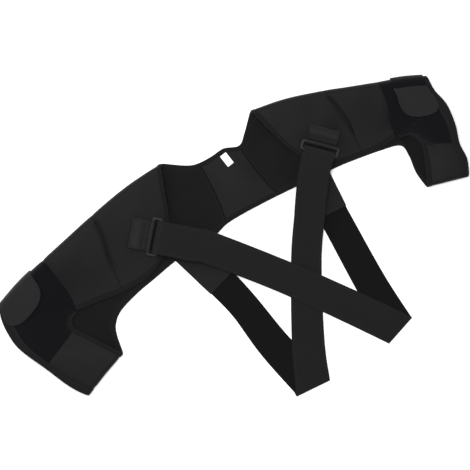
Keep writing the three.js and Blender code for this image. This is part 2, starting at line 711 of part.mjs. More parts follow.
for (const [name, side] of Object.entries(sides)) {
  const first = brace.children.length;
  frontPanels(name, side);
  cuffPanels(name, side);
  for (const mesh of brace.children.slice(first)) pile.add(mesh.geometry);
}
const outerTab = (from, to) => ({ from, to, round: true });
piece("hook_tab_left", closingTab(sides.left, outerTab(0, tabLength)), "hook");
piece("tab_band_right", closingTab(sides.right, { from: 0, to: tabBandLength, round: false }), "loop");
const rightTabStart = tabBandLength + jointGap;
piece("hook_tab_right", closingTab(sides.right, outerTab(rightTabStart, rightTabStart + tabLength)), "hook");

// A level place on the pile for a stiff rectangle: its frame has X along the first side and Z up
function seatOn(centre, alongX, halfX, fromY, toY, height) {
  const x = new THREE.Vector2(...alongX).normalize();
  const y = new THREE.Vector2(-x.y, x.x);
  const spots = steps(-halfX, halfX, 6).flatMap((a) => steps(fromY, toY, 6).map((b) => [a, b]));
  const heights = spots.map(([a, b]) => {
    const spot = centre.clone().addScaledVector(x, a).addScaledVector(y, b);
    return pile.near(spot.x, spot.y, 3);
  });
  const mean = heights.reduce((sum, z) => sum + z, 0) / heights.length;
  const slope = (k) => {
    const middle = spots.reduce((sum, s) => sum + s[k], 0) / spots.length;
    const top = spots.reduce((sum, s, i) => sum + (s[k] - middle) * (heights[i] - mean), 0);
    return top / spots.reduce((sum, s) => sum + (s[k] - middle) ** 2, 0);
  };
  const [slopeX, slopeY] = [slope(0), slope(1)];
  const clear = Math.max(...spots.map(([a, b], i) => heights[i] - slopeX * a - slopeY * b));
  const axisX = new THREE.Vector3(x.x, x.y, slopeX).normalize();
  const axisZ = axisX.clone().cross(new THREE.Vector3(y.x, y.y, slopeY)).normalize();
  const axisY = axisZ.clone().cross(axisX);
  const basis = new THREE.Matrix4().makeBasis(axisX, axisY, axisZ);
  const frame = new THREE.Group();
  frame.position.set(centre.x, centre.y, clear + height / axisZ.z);
  frame.quaternion.setFromRotationMatrix(basis);
  frame.updateMatrix();
  brace.add(frame);
  return frame;
}

// Blank label on the back, below the neckline
const labelSeat = seatOn(
  new THREE.Vector2(labelPlace.x * reach, labelPlace.v * depth),
  labelPlace.along,
  labelWidth / 2,
  -labelLength / 2,
  labelLength / 2,
  clearance + labelThickness / 2,
);
const label = piece("label", new THREE.BoxGeometry(labelWidth, labelLength, labelThickness), "label");
labelSeat.add(label);

// A buckle is a flat loop of four bars; its far bar, which holds the strap, lies on the frame's X axis
function buckleGeometry() {
  const half = strapWidth / 2 + buckleBar + clearance * 2;
  const bar = buckleBar / 2;
  const rectangle = (path, w, low, high) => {
    path.moveTo(-w, low);
    path.lineTo(w, low);
    path.lineTo(w, high);
    path.lineTo(-w, high);
    path.closePath();
    return path;
  };
  const shape = rectangle(new THREE.Shape(), half, -bar, buckleSpan + bar);
  shape.holes.push(rectangle(new THREE.Path(), half - buckleBar, bar, buckleSpan - bar));
  const edge = buckleEdge;
  const options = { depth: buckleThickness - 2 * edge, bevelThickness: edge, bevelSize: edge, bevelOffset: -edge };
  const geometry = new THREE.ExtrudeGeometry(shape, { ...options, bevelSegments: 1 });
  return geometry.translate(0, 0, edge - buckleThickness / 2);
}

// A band folded in two round a bar of the buckle, seen from the side: pairs of Y and Z
const turnRadius = Math.hypot(buckleBar / 2, buckleThickness / 2 - buckleEdge) + clearance + turnSlack;
const webbingRadius = turnRadius + webbingThickness / 2;
function webbingGeometry() {
  const end = buckleSpan + buckleBar / 2 + webbingLength;
  const flat = webbingThickness + clearance - webbingRadius; // height of the upper ply where it is sewn down
  const half = Math.PI / 2;
  const turn = steps(-half, -half - Math.PI, 6).map((angle) => {
    return [buckleSpan + webbingRadius * Math.cos(angle), webbingRadius * Math.sin(angle)];
  });
  const upper = [0.35, 1].map((f) => [mix(buckleSpan, end, f), flat]);
  const path = [[end, -webbingRadius], [mix(buckleSpan, end, 0.35), -webbingRadius], ...turn, ...upper];
  const width = webbingWidth / 2;
  return sheet(path.map(([y, z]) => [-width, width].map((x) => new THREE.Vector3(x, y, z))), webbingThickness);
}

// Rungs of a band along its route: each has a left and a right end on the plan
function rungs(rows, count, { foldAngle, foldAtStart = false, width }) {
  const centre = (at) => {
    const x = between(rows, at, (row) => row.x * reach);
    return new THREE.Vector2(x, between(rows, at, (row) => row.y * strapDrop));
  };
  const last = rows.length - 1;
  const foldRow = foldAtStart ? 0 : last;
  const fold = foldAngle === undefined ? null : new THREE.Vector2(Math.cos(foldAngle), Math.sin(foldAngle));
  return steps(0, last, count).map((at) => {
    const middle = centre(at);
    const along = centre(Math.min(at + 0.05, last)).sub(centre(Math.max(at - 0.05, 0))).normalize();
    const across = new THREE.Vector2(along.y, -along.x);
    const half = (width * between(rows, at, (row) => row.width)) / 2;
    const reachOfFold = fold ? 1 - ease(middle.distanceTo(centre(foldRow)) / width) : 0;
    const skew = fold ? (reachOfFold * fold.dot(along)) / fold.dot(across) : 0;
    const side = across.clone().multiplyScalar(half).addScaledVector(along, half * skew);
    return { middle, left: middle.clone().sub(side), right: middle.clone().add(side) };
  });
}

// Heights of a band's two edges: over the pile, with no slope steeper than the band hangs
function settle(list, thickness, startHeights = null) {
  const samples = list.map(({ left, right }) => {
    return steps(0, 1, 6).map((f) => {
      const spot = left.clone().lerp(right, f);
      return pile.near(spot.x, spot.y, settleRadius);
    });
  });
  const over = clearance + thickness / 2;
  const edge = (pick) => samples.map((row) => Math.max(...row.filter((_, k) => pick(k))) + over);
  const left = edge((k) => k <= 2);
  const right = edge((k) => k >= 4);
  samples.forEach((row, i) => {
    const lack = Math.max(0, row[3] + over - (left[i] + right[i]) / 2);
    left[i] += lack;
    right[i] += lack;
  });
  const onTable = samples.map((row) => Math.max(...row) === 0);
  if (startHeights) {
    left[0] = Math.max(left[0], startHeights[0]);
    right[0] = Math.max(right[0], startHeights[1]);
  }
  const relaxed = (heights) => heights.map((height, i) => {
    const floor = onTable[i] ? thickness / 2 : height;
    return Math.max(floor, ...heights.map((other, k) => {
      if (onTable[k]) return 0;
      return other - steepest * list[i].middle.distanceTo(list[k].middle);
    }));
  });
  const [l, r] = [relaxed(left), relaxed(right)];
  return list.map((rung, i) => ({ ...rung, l: l[i], r: r[i] }));
}

const bandPoints = ({ left, right, l, r }) => {
  return steps(0, 1, 2).map((f) => new THREE.Vector3(mix(left.x, right.x, f), mix(left.y, right.y, f), mix(l, r, f)));
};

// A band round the buckle's far bar, from below it to above it
function barTurn(frame, width) {
  const radius = turnRadius + strapThickness / 2;
  return steps(-Math.PI / 2, Math.PI / 2, 6).map((angle) => {
    return steps(-width / 2, width / 2, 2).map((x) => {
      return new THREE.Vector3(x, radius * Math.cos(angle), radius * Math.sin(angle)).applyMatrix4(frame.matrix);
    });
  });
}

// The runs of both straps that lie on the table
const routes = { strap_a: routeA, strap_b: routeB };
const radians = (degrees) => (degrees * Math.PI) / 180;
for (const [name, route] of Object.entries(routes)) {
  const foldAngle = radians(route.foldAngle);
  route.name = name;
  route.lower = rungs(route.under, 14, { foldAngle, foldAtStart: true, width: strapWidth }).map((rung) => {
    return { ...rung, l: strapThickness / 2, r: strapThickness / 2 };
  });
  pile.add(sheet(route.lower.map(bandPoints), strapThickness));
}
for (const [name, route] of [["anchor_right", routeA], ["anchor_left", routeB]]) {
  const list = rungs(route.anchor, 10, { width: strapWidth + anchorExtra });
  const ends = list.map((rung, i) => {
    const onStrap = 1 - ease((i - 3) / 3);
    const z = mix(0, strapThickness + clearance, onStrap) + anchorThickness / 2;
    return { ...rung, l: z, r: z };
  });
  pile.add(piece(name, sheet(ends.map(bandPoints), anchorThickness), "webbing").geometry);
}

// Buckles, webbing tabs and straps; the strap that passes over the other is laid last
function strapWithBuckle(route, sideName) {
  const first = route.top[0];
  const far = new THREE.Vector2(first.x * reach, first.y * strapDrop);
  const list = rungs(route.top, 34, { foldAngle: radians(route.foldAngle), width: strapWidth });
  const bar = list[0].left.clone().sub(list[0].right);
  const tabEnd = buckleSpan + buckleBar / 2 + webbingLength;
  const seatHeight = clearance + strapThickness + turnRadius;
  const frame = seatOn(far, bar.toArray(), strapWidth / 2, 0, tabEnd, seatHeight);
  frame.add(piece(`buckle_${sideName}`, buckleGeometry(), "plastic"));
  frame.add(piece(`webbing_tab_${sideName}`, webbingGeometry(), "webbing"));
  const turn = barTurn(frame, strapWidth * first.width);
  const low = [turn[0][2].z, turn[0][0].z];
  const high = [turn[6][2].z, turn[6][0].z];
  const inTail = (rung) => rung.middle.distanceTo(far) < strapTail;
  const tail = settle(list.filter(inTail), strapThickness, low).slice(1);
  const flip = (points) => [...points].reverse();
  pile.add(sheet(tail.map(bandPoints), strapThickness));
  const top = settle(list, strapThickness, high).slice(1);
  const end = top[top.length - 1];
  const start = route.lower[0];
  const radius = (end.l - start.l) / 2;
  const foldLine = end.right.clone().sub(end.left).normalize();
  let outwards = new THREE.Vector2(-foldLine.y, foldLine.x);
  if (outwards.y > 0) outwards = outwards.negate();
  const foldTurn = steps(Math.PI / 2, -Math.PI / 2, 6).slice(1, -1).map((angle) => {
    const shift = outwards.clone().multiplyScalar(radius * Math.cos(angle));
    const z = (end.l + start.l) / 2 + radius * Math.sin(angle);
    return bandPoints({ left: end.left.clone().add(shift), right: end.right.clone().add(shift), l: z, r: z });
  });
  const lower = route.lower.map(bandPoints).map(flip);
  lower[0] = bandPoints({ ...end, l: start.l, r: start.r });
  const rows = [...tail.map(bandPoints).reverse(), ...turn.map(flip), ...top.map(bandPoints), ...foldTurn, ...lower];
  const strap = piece(route.name, sheet(rows, strapThickness), "elastic");
  pile.add(strap.geometry);
}
strapWithBuckle(routeB, "right");
strapWithBuckle(routeA, "left");

// The part's origin is under the middle of the brace, on the surface that it lies on
brace.updateMatrixWorld(true);
const box = new THREE.Box3().setFromObject(brace);
const middle = box.getCenter(new THREE.Vector3());
brace.position.set(-middle.x, -middle.y, -box.min.z);
const part = new THREE.Group();
part.add(brace);

export default part;
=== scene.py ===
"""Looks of a double shoulder brace of black neoprene, lying flat with its chest panels up.

Shapes are worked out in millimetres on the plan of the brace, X along the shoulders and Y towards the
neck, and are moved into the frame as they become meshes.
"""

import json
import math
from types import SimpleNamespace

import bmesh
import bpy
import numpy as np
from bpy.props import FloatProperty, FloatVectorProperty, PointerProperty
from mathutils.bvhtree import BVHTree
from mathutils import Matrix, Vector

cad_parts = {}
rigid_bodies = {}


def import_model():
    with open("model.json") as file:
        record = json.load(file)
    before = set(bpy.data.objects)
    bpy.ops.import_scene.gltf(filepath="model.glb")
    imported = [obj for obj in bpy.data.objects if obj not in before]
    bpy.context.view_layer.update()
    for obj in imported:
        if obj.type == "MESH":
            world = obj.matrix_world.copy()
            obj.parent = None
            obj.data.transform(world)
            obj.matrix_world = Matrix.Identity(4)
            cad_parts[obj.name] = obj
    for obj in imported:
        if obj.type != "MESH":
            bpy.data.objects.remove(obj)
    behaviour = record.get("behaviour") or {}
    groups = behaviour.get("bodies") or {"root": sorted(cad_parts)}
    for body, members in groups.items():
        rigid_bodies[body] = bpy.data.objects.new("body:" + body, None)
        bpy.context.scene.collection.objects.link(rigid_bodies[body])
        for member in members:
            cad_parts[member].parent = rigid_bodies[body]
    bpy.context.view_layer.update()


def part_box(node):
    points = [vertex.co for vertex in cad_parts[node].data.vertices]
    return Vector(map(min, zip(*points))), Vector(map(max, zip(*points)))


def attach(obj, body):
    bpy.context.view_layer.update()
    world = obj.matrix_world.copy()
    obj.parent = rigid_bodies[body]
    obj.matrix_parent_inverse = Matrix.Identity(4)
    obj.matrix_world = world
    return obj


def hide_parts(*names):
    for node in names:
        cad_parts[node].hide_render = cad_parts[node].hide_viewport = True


bl_info = {
    "name": "Shoulder Brace",
    "version": (1, 0, 0),
    "blender": (4, 5, 0),
    "location": "View3D > Sidebar > Brace",
    "description": "Builds the looks of a double shoulder brace around its CAD frame",
    "category": "Add Mesh",
}

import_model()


# Sizes and colours


def length(name, default, description):
    metres = default / 1000
    return FloatProperty(name=name, description=description, default=metres, unit="LENGTH", precision=4)


def colour(name, rgb, description):
    return FloatVectorProperty(name=name, description=description, default=rgb, subtype="COLOR", size=3)


class BraceSizes(bpy.types.PropertyGroup):
    reach: length("Reach", 375, "Middle of the neckline to the open end of a cuff")
    depth: length("Depth", 150, "The hem's zero line up to the shoulder line")
    wall: length("Wall", 2.5, "Thickness of a neoprene panel")
    trim: length("Trim", 0.6, "What a bound edge is thicker than its panel")
    clearance: length("Clearance", 0.3, "Between pieces that touch")
    joint_gap: length("Joint gap", 0.1, "Between panels that are sewn edge to edge")
    hidden_joint: length("Hidden joint", 0.5, "Between the back and a fold, out of sight")
    binding_width: length("Binding", 5.5, "Width of a bound edge")
    cuff_hem: length("Cuff hem", 12, "Band round a cuff's open end")
    fold_height: length("Shoulder fold", 22, "Outer height of the shoulder fold")
    underarm_height: length("Underarm fold", 15, "Outer height of the underarm fold")
    back_dome: length("Back dome", 6, "How far the back's middle piece bulges")
    cuff_dome: length("Cuff dome", 3, "How far a cuff's top layer bulges at its open end")
    softness: length("Softness", 1.1, "Height of the soft waves in the neoprene")
    tab_thickness: length("Tab thickness", 1.6, "Thickness of a closing tab")
    tab_seat: length("Tab seat", 0.6, "Gap under a closing tab")
    tab_length: length("Tab length", 50, "The shoulder line to a tab's round end")
    tab_band: length("Tab band", 17, "The darker band above the right tab's round piece")
    label_width: length("Label width", 11, "Width of the blank label")
    label_length: length("Label length", 20, "Length of the blank label")
    label_thickness: length("Label thickness", 0.5, "Thickness of the blank label")
    strap_width: length("Strap width", 50, "Width of the elastic straps")
    strap_thickness: length("Strap thickness", 1.6, "Thickness of the elastic straps")
    strap_tail: length("Strap tail", 97, "Free end under the strap, from the buckle")
    strap_drop: length("Strap drop", 260, "How far the straps reach below the hem's zero line")
    anchor_thickness: length("Anchor thickness", 1.2, "Thickness of the strap anchors")
    anchor_extra: length("Anchor extra", 2, "What an anchor is wider than its strap")
    webbing_thickness: length("Webbing thickness", 1.4, "Thickness of the buckle's webbing")
    webbing_width: length("Webbing width", 47, "Width of the buckle's webbing")
    webbing_length: length("Webbing length", 28, "Visible length of a webbing tab")
    webbing_bulge: length("Webbing bulge", 2.6, "How far the sewn webbing bulges")
    buckle_bar: length("Buckle bar", 4.2, "Width of a buckle's bars")
    buckle_thickness: length("Buckle thickness", 3.6, "Height of a buckle's bars")
    buckle_span: length("Buckle span", 12, "Between the middles of a buckle's long bars")
    turn_slack: length("Turn slack", 0.15, "How loosely a band goes round a bar")


class BraceColours(bpy.types.PropertyGroup):
    neoprene: colour("Neoprene", (0.0041, 0.0041, 0.0043), "Knit cover of the neoprene")
    lining: colour("Lining", (0.00165, 0.00145, 0.00155), "Inner face of the back")
    binding: colour("Binding", (0.0044, 0.0044, 0.0046), "Bound edges")
    loop: colour("Loop", (0.0019, 0.002, 0.003), "Soft loop patch")
    hook: colour("Hook", (0.0085, 0.0085, 0.0094), "Closing tabs")
    elastic: colour("Elastic", (0.0072, 0.0072, 0.0074), "Outer face of the straps")
    velvet: colour("Velvet", (0.0023, 0.0023, 0.0025), "Inner face of the straps")
    webbing: colour("Webbing", (0.0072, 0.0072, 0.0075), "Satin webbing")
    plastic: colour("Plastic", (0.012, 0.012, 0.012), "Moulded buckles")
    thread: colour("Thread", (0.011, 0.011, 0.0115), "Stitching")
    label: colour("Label", (0.86, 0.86, 0.85), "Blank label")
    floor: colour("Floor", (0.93, 0.93, 0.93), "White surface under the brace")


def sizes():
    """The panel's sizes, in millimetres"""
    group = bpy.context.scene.brace_sizes
    return SimpleNamespace(**{name: getattr(group, name) * 1000 for name in BraceSizes.__annotations__})


def tint(name):
    return (*getattr(bpy.context.scene.brace_colours, name), 1)


# Tables of the plan. U and X are shares of the reach and V of the depth.

# Front sections from the neck edge outwards: U and V of the fold, two points down the panel and the
# hem, then the fold's rise as a share of its height
FRONT = {
    -1: (
        (0.145, 0.977, 0.185, 0.647, 0.211, 0.44, 0.242, 0.239, 0.8),
        (0.312, 0.917, 0.325, 0.613, 0.349, 0.32, 0.365, 0.027, 1),
        (0.483, 0.812, 0.483, 0.547, 0.499, 0.307, 0.507, -0.017, 0.92),
        (0.618, 0.713, 0.608, 0.467, 0.608, 0.24, 0.616, 0.007, 1),
        (0.736, 0.627, 0.715, 0.367, 0.706, 0.147, 0.709, 0.017, 1),
    ),
    1: (
        (0.277, 1.059, 0.31, 0.8, 0.347, 0.557, 0.416, 0.253, 0.8),
        (0.421, 1.013, 0.448, 0.747, 0.48, 0.467, 0.507, 0.183, 0.96),
        (0.573, 0.919, 0.597, 0.68, 0.61, 0.433, 0.605, 0.157, 0.92),
        (0.674, 0.84, 0.685, 0.613, 0.685, 0.367, 0.683, 0.15, 1),
        (0.784, 0.757, 0.781, 0.567, 0.76, 0.333, 0.757, 0.176, 1),
    ),
}
DART_ROW = 2
PATCH_ROW = 4

# Cuff sections: armhole, middle and open end. Seven stops run from the shoulder fold to the underarm,
# then come the rises of the two folds.
CUFF = {
    -1: (
        (
            0.736, 0.627, 0.715, 0.367, 0.709, 0.017, 0.739, -0.04,
            0.748, -0.14, 0.693, -0.32, 0.617, -0.584, 1, 0.8,
        ),
        (
            0.86, 0.53, 0.855, 0.3, 0.853, 0.113, 0.857, -0.06,
            0.84, -0.265, 0.781, -0.44, 0.712, -0.685, 1, 1,
        ),
        (
            0.976, 0.407, 0.989, 0.267, 0.99, 0.102, 0.976, -0.079,
            0.919, -0.358, 0.86, -0.65, 0.812, -0.808, 0.92, 1,
        ),
    ),
    1: (
        (
            0.784, 0.757, 0.781, 0.567, 0.757, 0.176, 0.808, 0.14,
            0.836, -0.007, 0.813, -0.22, 0.783, -0.416, 1, 0.8,
        ),
        (
            0.88, 0.69, 0.88, 0.493, 0.885, 0.24, 0.901, 0.08,
            0.899, -0.073, 0.893, -0.28, 0.859, -0.455, 1, 1,
        ),
        (
            0.971, 0.6, 0.972, 0.435, 0.991, 0.248, 0.987, 0.019,
            0.97, -0.16, 0.971, -0.333, 0.949, -0.503, 0.92, 1,
        ),
    ),
}
FRONT_STOPS, CUFF_STOPS = 4, 7
CORNER_STOP, MIDDLE_STOP, SEAM_STOP = 2, 3, 4
CUFF_END = 2

# Back sections from the left cuff to the right one: X and V of the upper edge and of the hem, and bow
BACK = (
    (-0.88, 0.507, -0.69, -0.66, 0),
    (-0.811, 0.57, -0.617, -0.584, 0),
    (-0.76, 0.607, -0.607, -0.379, 0),
    (-0.699, 0.653, -0.589, -0.267, 0),
    (-0.618, 0.713, -0.546, -0.173, 0),
    (-0.483, 0.812, -0.456, -0.089, 0),
    (-0.377, 0.88, -0.368, -0.033, -0.02),
    (-0.255, 0.935, -0.271, 0.029, -0.05),
    (-0.145, 0.977, -0.17, 0.07, -0.085),
    (-0.0537, 0.842, -0.077, 0.09, -0.02),
    (-0.0045, 0.809, -0.008, 0.143, 0.03),
    (0.055, 0.813, 0.064, 0.163, 0),
    (0.112, 0.832, 0.145, 0.171, 0),
    (0.173, 0.79, 0.229, 0.174, -0.03),
    (0.2125, 0.872, 0.28, 0.175, 0.02),
    (0.277, 1.059, 0.345, 0.175, 0.05),
    (0.392, 1.029, 0.42, 0.172, 0.03),
    (0.499, 0.977, 0.507, 0.17, 0.01),
    (0.573, 0.919, 0.575, 0.157, 0),
    (0.674, 0.84, 0.683, 0.128, 0),
    (0.768, 0.768, 0.761, 0.084, 0),
    (0.813, 0.737, 0.774, -0.053, 0),
    (0.845, 0.715, 0.77, -0.233, 0),
    (0.88, 0.69, 0.783, -0.416, 0),
    (0.93, 0.643, 0.85, -0.44, 0),
)
UNDERARM_LEFT, NECK_LEFT, SEAM_LEFT = 1, 8, 10
SEAM_RIGHT, NECK_RIGHT, UNDERARM_RIGHT = 13, 15, 23
CORNERS = (UNDERARM_LEFT, NECK_LEFT, NECK_RIGHT, UNDERARM_RIGHT)
SEAM_HALF = -0.004  # half of a back seam's gap, in rows
NECK_STEP = 0.03  # rows beside a corner
BINDING_START = 0.005  # rows left free at the end of a back binding
CORNER_REACH = 1.2  # how near the back panel comes to an underarm corner, mm
TUCK = 1.2  # how far the back panels reach into their bindings, mm

# Strap routes from above: X as a share of the reach, Y of the strap's drop, width as a share;
# trim is what the buckle's webbing tab on that side is short of its full length, mm
ROUTES = {
    "strap_a": SimpleNamespace(
        fold=22.5,
        strap="strap_a",
        anchor_name="anchor_right",
        side="left",
        trim=0,
        top=(
            (-0.281, 0.181, 1),
            (-0.173, 0.062, 1),
            (-0.109, -0.01, 0.98),
            (0.115, -0.362, 0.98),
            (0.303, -0.688, 1.02),
            (0.431, -0.92, 1.03),
        ),
        under=((0.431, -0.92, 1.02), (0.409, -0.6, 0.96), (0.396, -0.2, 0.92), (0.393, -0.06, 0.92)),
        anchor=((0.393, -0.13, 0.93), (0.393, -0.02, 0.93), (0.393, 0.2, 0.93)),
    ),
    "strap_b": SimpleNamespace(
        fold=0,
        strap="strap_b",
        anchor_name="anchor_left",
        side="right",
        trim=4,
        top=(
            (0.448, 0.217, 0.94),
            (0.402, 0.138, 0.94),
            (0.359, 0.046, 0.94),
            (0.305, -0.085, 0.93),
            (0.215, -0.3127, 0.93),
            (0.0784, -0.743, 1),
            (0.013, -1, 1.07),
        ),
        under=(
            (0.013, -1, 1.04),
            (-0.0523, -0.6785, 1),
            (-0.092, -0.405, 0.92),
            (-0.131, -0.22, 0.95),
            (-0.149, -0.15, 0.95),
        ),
        anchor=((-0.131, -0.215, 0.96), (-0.16, -0.107, 0.96), (-0.216, 0.109, 0.96)),
    ),
}
TAB_PLACES = {-1: (0.56, 1.93), 1: (0.46, 1.78)}  # a closing tab's two sides, in rows of the cuff
BAND_PLACES = (0.55, 1.8)  # the two sides of the right tab's darker band, in rows of the cuff
TAB_SQUARENESS = 2.4  # how blunt a tab's round end is; 2 would be an ellipse
TAB_SIDE_SHARE = 0.45  # how much of a tab's length its straight sides take
LABEL_PLACE = (0.104, 0.72)  # middle of the label, as shares of the reach and the depth
LABEL_ALONG = (0.98, 0.2)  # direction of the label's short side

# How the pieces lie on one another
SETTLE_RADIUS = 16  # how far round itself a strap clears what it lies on, mm
SEAT_RADIUS = 3  # the same round a buckle or the label, mm
STEEPEST = 0.15  # slope of a strap where it hangs free
STRAP_EVENING = 60  # times that a strap's heights are evened out
STRAP_SINK = 0.6  # how far it may sink then, mm
ANCHOR_RAMP = (0.3, 0.3)  # where an anchor starts to come down from its strap and for how long, as shares
LIFT_MARGIN, LIFT_RAMP = 20, 26  # level stretch round an anchor and the slope beyond it, mm

# How the neoprene swells and sinks
DOME_ROWS = 1.2  # rows of the cuff in which its two slopes give way to one dome
DOME_AT_EDGE = 0.35  # the back's bulge at its edges, as a share
BACK_DIP, FRONT_DIP, PATCH_DIP, CUFF_DIP = 0.5, 0.3, 0.9, 0.7  # how much a panel thins at its seams, mm
DIP_REACH = 5  # how far from its border a panel thins towards the seam, mm
SEAM_SHOWN = 0.05  # gap of the dart seam, which shows as a dark line, mm
CREASES = ((DART_ROW, 2.6, 4), (PATCH_ROW, 0.6, 7))  # rows of the front's seams, depths and widths in mm
CREASE_FADE = 7  # a crease fades out over this height above the back, mm
# Soft waves: share of their height, radians a millimetre along X and Y, and start
WAVES = ((0.45, 0.061, 0.034, 0.4), (0.3, -0.043, 0.089, 2.1), (0.25, 0.118, -0.071, 4.0))
WAVE_START, WAVE_RAMP = 5, 9  # height over the table where the waves begin and how fast they grow, mm
PATCH_EVENING = 100  # times that a loop patch is evened out
EVENING_RAMP = 8  # columns beyond the fold over which that sets in
ARMHOLE_START = 0.55  # how wide the armhole's binding starts at the hem's corner, as a share
ARMHOLE_RAMP = 1 / 3  # how far down it has its full width, as a share
LEAST_FOLD_SLANT, LEAST_EDGE_SLANT = 0.5, 0.6  # sines below which a slant isn't followed
TANGENT_LIMIT = 1.3  # a line's tangents stay under this many times its chord
MOST_INSET = 0.6  # of its first span that a grid's edge may give up to the rim

# How finely the pieces are divided: spans, rows and points
FOLD_STEPS, TURN_STEPS, STRAP_FOLD_STEPS = 12, 12, 10  # round a fold, a buckle's bar and a strap's fold
RIM, BOUND_RIM = 4, 6  # round the rim of a panel and of a binding
PATCH_ABOVE, PATCH_BELOW = 22, 16  # down a loop patch above and below the hem's corner
CHEST_ROWS, ARM_ROWS, HEM_ROWS = 48, 44, 90
PATCH_ROWS, LOWER_ROWS, BAND_ROWS = 40, 36, 12
CUFF_BACK_ROWS = 10
BINDING_LINES = 7
BINDING_ROWS = 8  # of the neck's and the hem's binding, for each row of the back
LOWER_POINTS, CUFF_POINTS = 25, 49  # in a row of the lower cuff panel and over a cuff's open end
TAB_ROWS, TAB_POINTS = 49, 25
TAB_FOLD_START = 4  # first step of the shoulder fold that a tab covers
LABEL_GRID = (13, 21)
TOP_RUNGS, UNDER_RUNGS, ANCHOR_RUNGS, STRAP_COLUMNS = 150, 60, 50, 11
SAMPLES = 7  # places across a strap or along a seat where the height under it is measured
SLOPE_STEP = 0.05  # rows between which a slope is measured
SWEEP_STEP = 0.02  # the same beside a swept row
CLEAR_OF_CORNER = 0.25  # rows on either side of a back's corner that are left out
SELVEDGE = 9  # the elastic's edge line is one long stitch, m
SIDE_NAMES = {-1: "left", 1: "right"}


# Small helpers

TINY = 1e-9  # keeps a length from being nothing where it divides


def mix(a, b, f):
    return a + (b - a) * f


def ease(x):
    return (1 - np.cos(np.pi * np.clip(x, 0, 1))) / 2


def unit(v):
    return v / np.maximum(np.linalg.norm(v, axis=-1, keepdims=True), TINY)


def slant(a, b):
    """The sine of the angle between two directions on the plan, without its sign"""
    a, b = unit(a), unit(b)
    return abs(a[0] * b[1] - a[1] * b[0])


def row_at(rows, at, corners=()):
    """A smooth row between the rows of a table, which turns sharply at its corner rows"""
    rows = np.asarray(rows, float)
    i = int(np.clip(math.floor(at), 0, len(rows) - 2))
    f = at - i
    b, c = rows[i], rows[i + 1]
    a = rows[i - 1] if i > 0 and i not in corners else 2 * b - c
    d = rows[i + 2] if i < len(rows) - 2 and i + 1 not in corners else 2 * c - b
    return b + 0.5 * f * (c - a + f * (2 * a - 5 * b + 4 * c - d + f * (3 * (b - c) + d - a)))


def bound_thickness():
    s = sizes()
    return s.wall + s.trim


def plan_shift():
    """From the plan's millimetres to the frame's metres, by the place of the label"""
    s = sizes()
    low, high = (np.array(corner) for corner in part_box("label"))
    middle = (low + high) / 2
    place = np.array([LABEL_PLACE[0] * s.reach, LABEL_PLACE[1] * s.depth]) / 1000
    return np.array([middle[0] - place[0], middle[1] - place[1], 0])


class Line:
    """A smooth line on the plan, measured along its length"""

    def __init__(self, stops, samples=48):
        stops = np.asarray(stops, float)
        n = len(stops) - 1
        t = np.linspace(0, n, samples + 1)
        i = np.minimum(t.astype(int), n - 1)
        f = (t - i)[:, None]
        p0, p1, p2, p3 = stops[np.maximum(i - 1, 0)], stops[i], stops[i + 1], stops[np.minimum(i + 2, n)]
        chord = np.linalg.norm(p2 - p1, axis=1, keepdims=True)
        longest = TANGENT_LIMIT * chord
        v0, v1 = (
            v * np.minimum(1, longest / np.maximum(np.linalg.norm(v, axis=1, keepdims=True), TINY))
            for v in ((p2 - p0) / 2, (p3 - p1) / 2)
        )
        step = p2 - p1
        self.points = (v0 + v1 - 2 * step) * f**3 + (3 * step - 2 * v0 - v1) * f**2 + v0 * f + p1
        steps = np.linalg.norm(np.diff(self.points, axis=0), axis=1)
        self.lengths = np.concatenate([[0], np.cumsum(steps)])
        self.length = self.lengths[-1]
        self.stops = n

    def at(self, distance):
        distance = np.asarray(distance, float)
        i = np.clip(np.searchsorted(self.lengths, distance), 1, len(self.lengths) - 1)
        f = (distance - self.lengths[i - 1]) / (self.lengths[i] - self.lengths[i - 1])
        return self.points[i - 1] + (self.points[i] - self.points[i - 1]) * f[..., None]

    def to_stop(self, stop):
        return self.lengths[round(stop / self.stops * (len(self.lengths) - 1))]


def softness(xy, z):
    """Soft waves of lying neoprene, fading out where it rests on the table"""
    s = sizes()
    x, y = xy[..., 0], xy[..., 1]
    waves = sum(share * np.sin(by_x * x + by_y * y + start) for share, by_x, by_y, start in WAVES)
    return s.softness * waves * ease((z - WAVE_START) / WAVE_RAMP)


def lift(xy):
    """What lies under the hem lifts the brace a little: its two strap anchors"""
    s = sizes()
    nearest = np.full(xy.shape[:-1], np.inf)
    for route in ROUTES.values():
        rows = np.array(route.anchor)[:, :2] * (s.reach, s.strap_drop)
        along = rows[2] - rows[1]
        f = np.clip((xy - rows[1]) @ along / (along @ along), 0, 1)
        nearest = np.minimum(nearest, np.linalg.norm(xy - rows[1] - f[..., None] * along, axis=-1))
    nearest = nearest - s.strap_width / 2 - LIFT_MARGIN
    return (s.anchor_thickness + s.clearance) * (1 - ease(nearest / LIFT_RAMP))


def fold_profile(height, stretch):
    """A half round between the layer on the table and the layer above it: distances and heights"""
    radius = (height - sizes().wall) / 2
    angles = np.linspace(-np.pi / 2, np.pi / 2, FOLD_STEPS + 1)
    return (height / 2 - radius * np.cos(angles)) * stretch, height / 2 + radius * np.sin(angles)


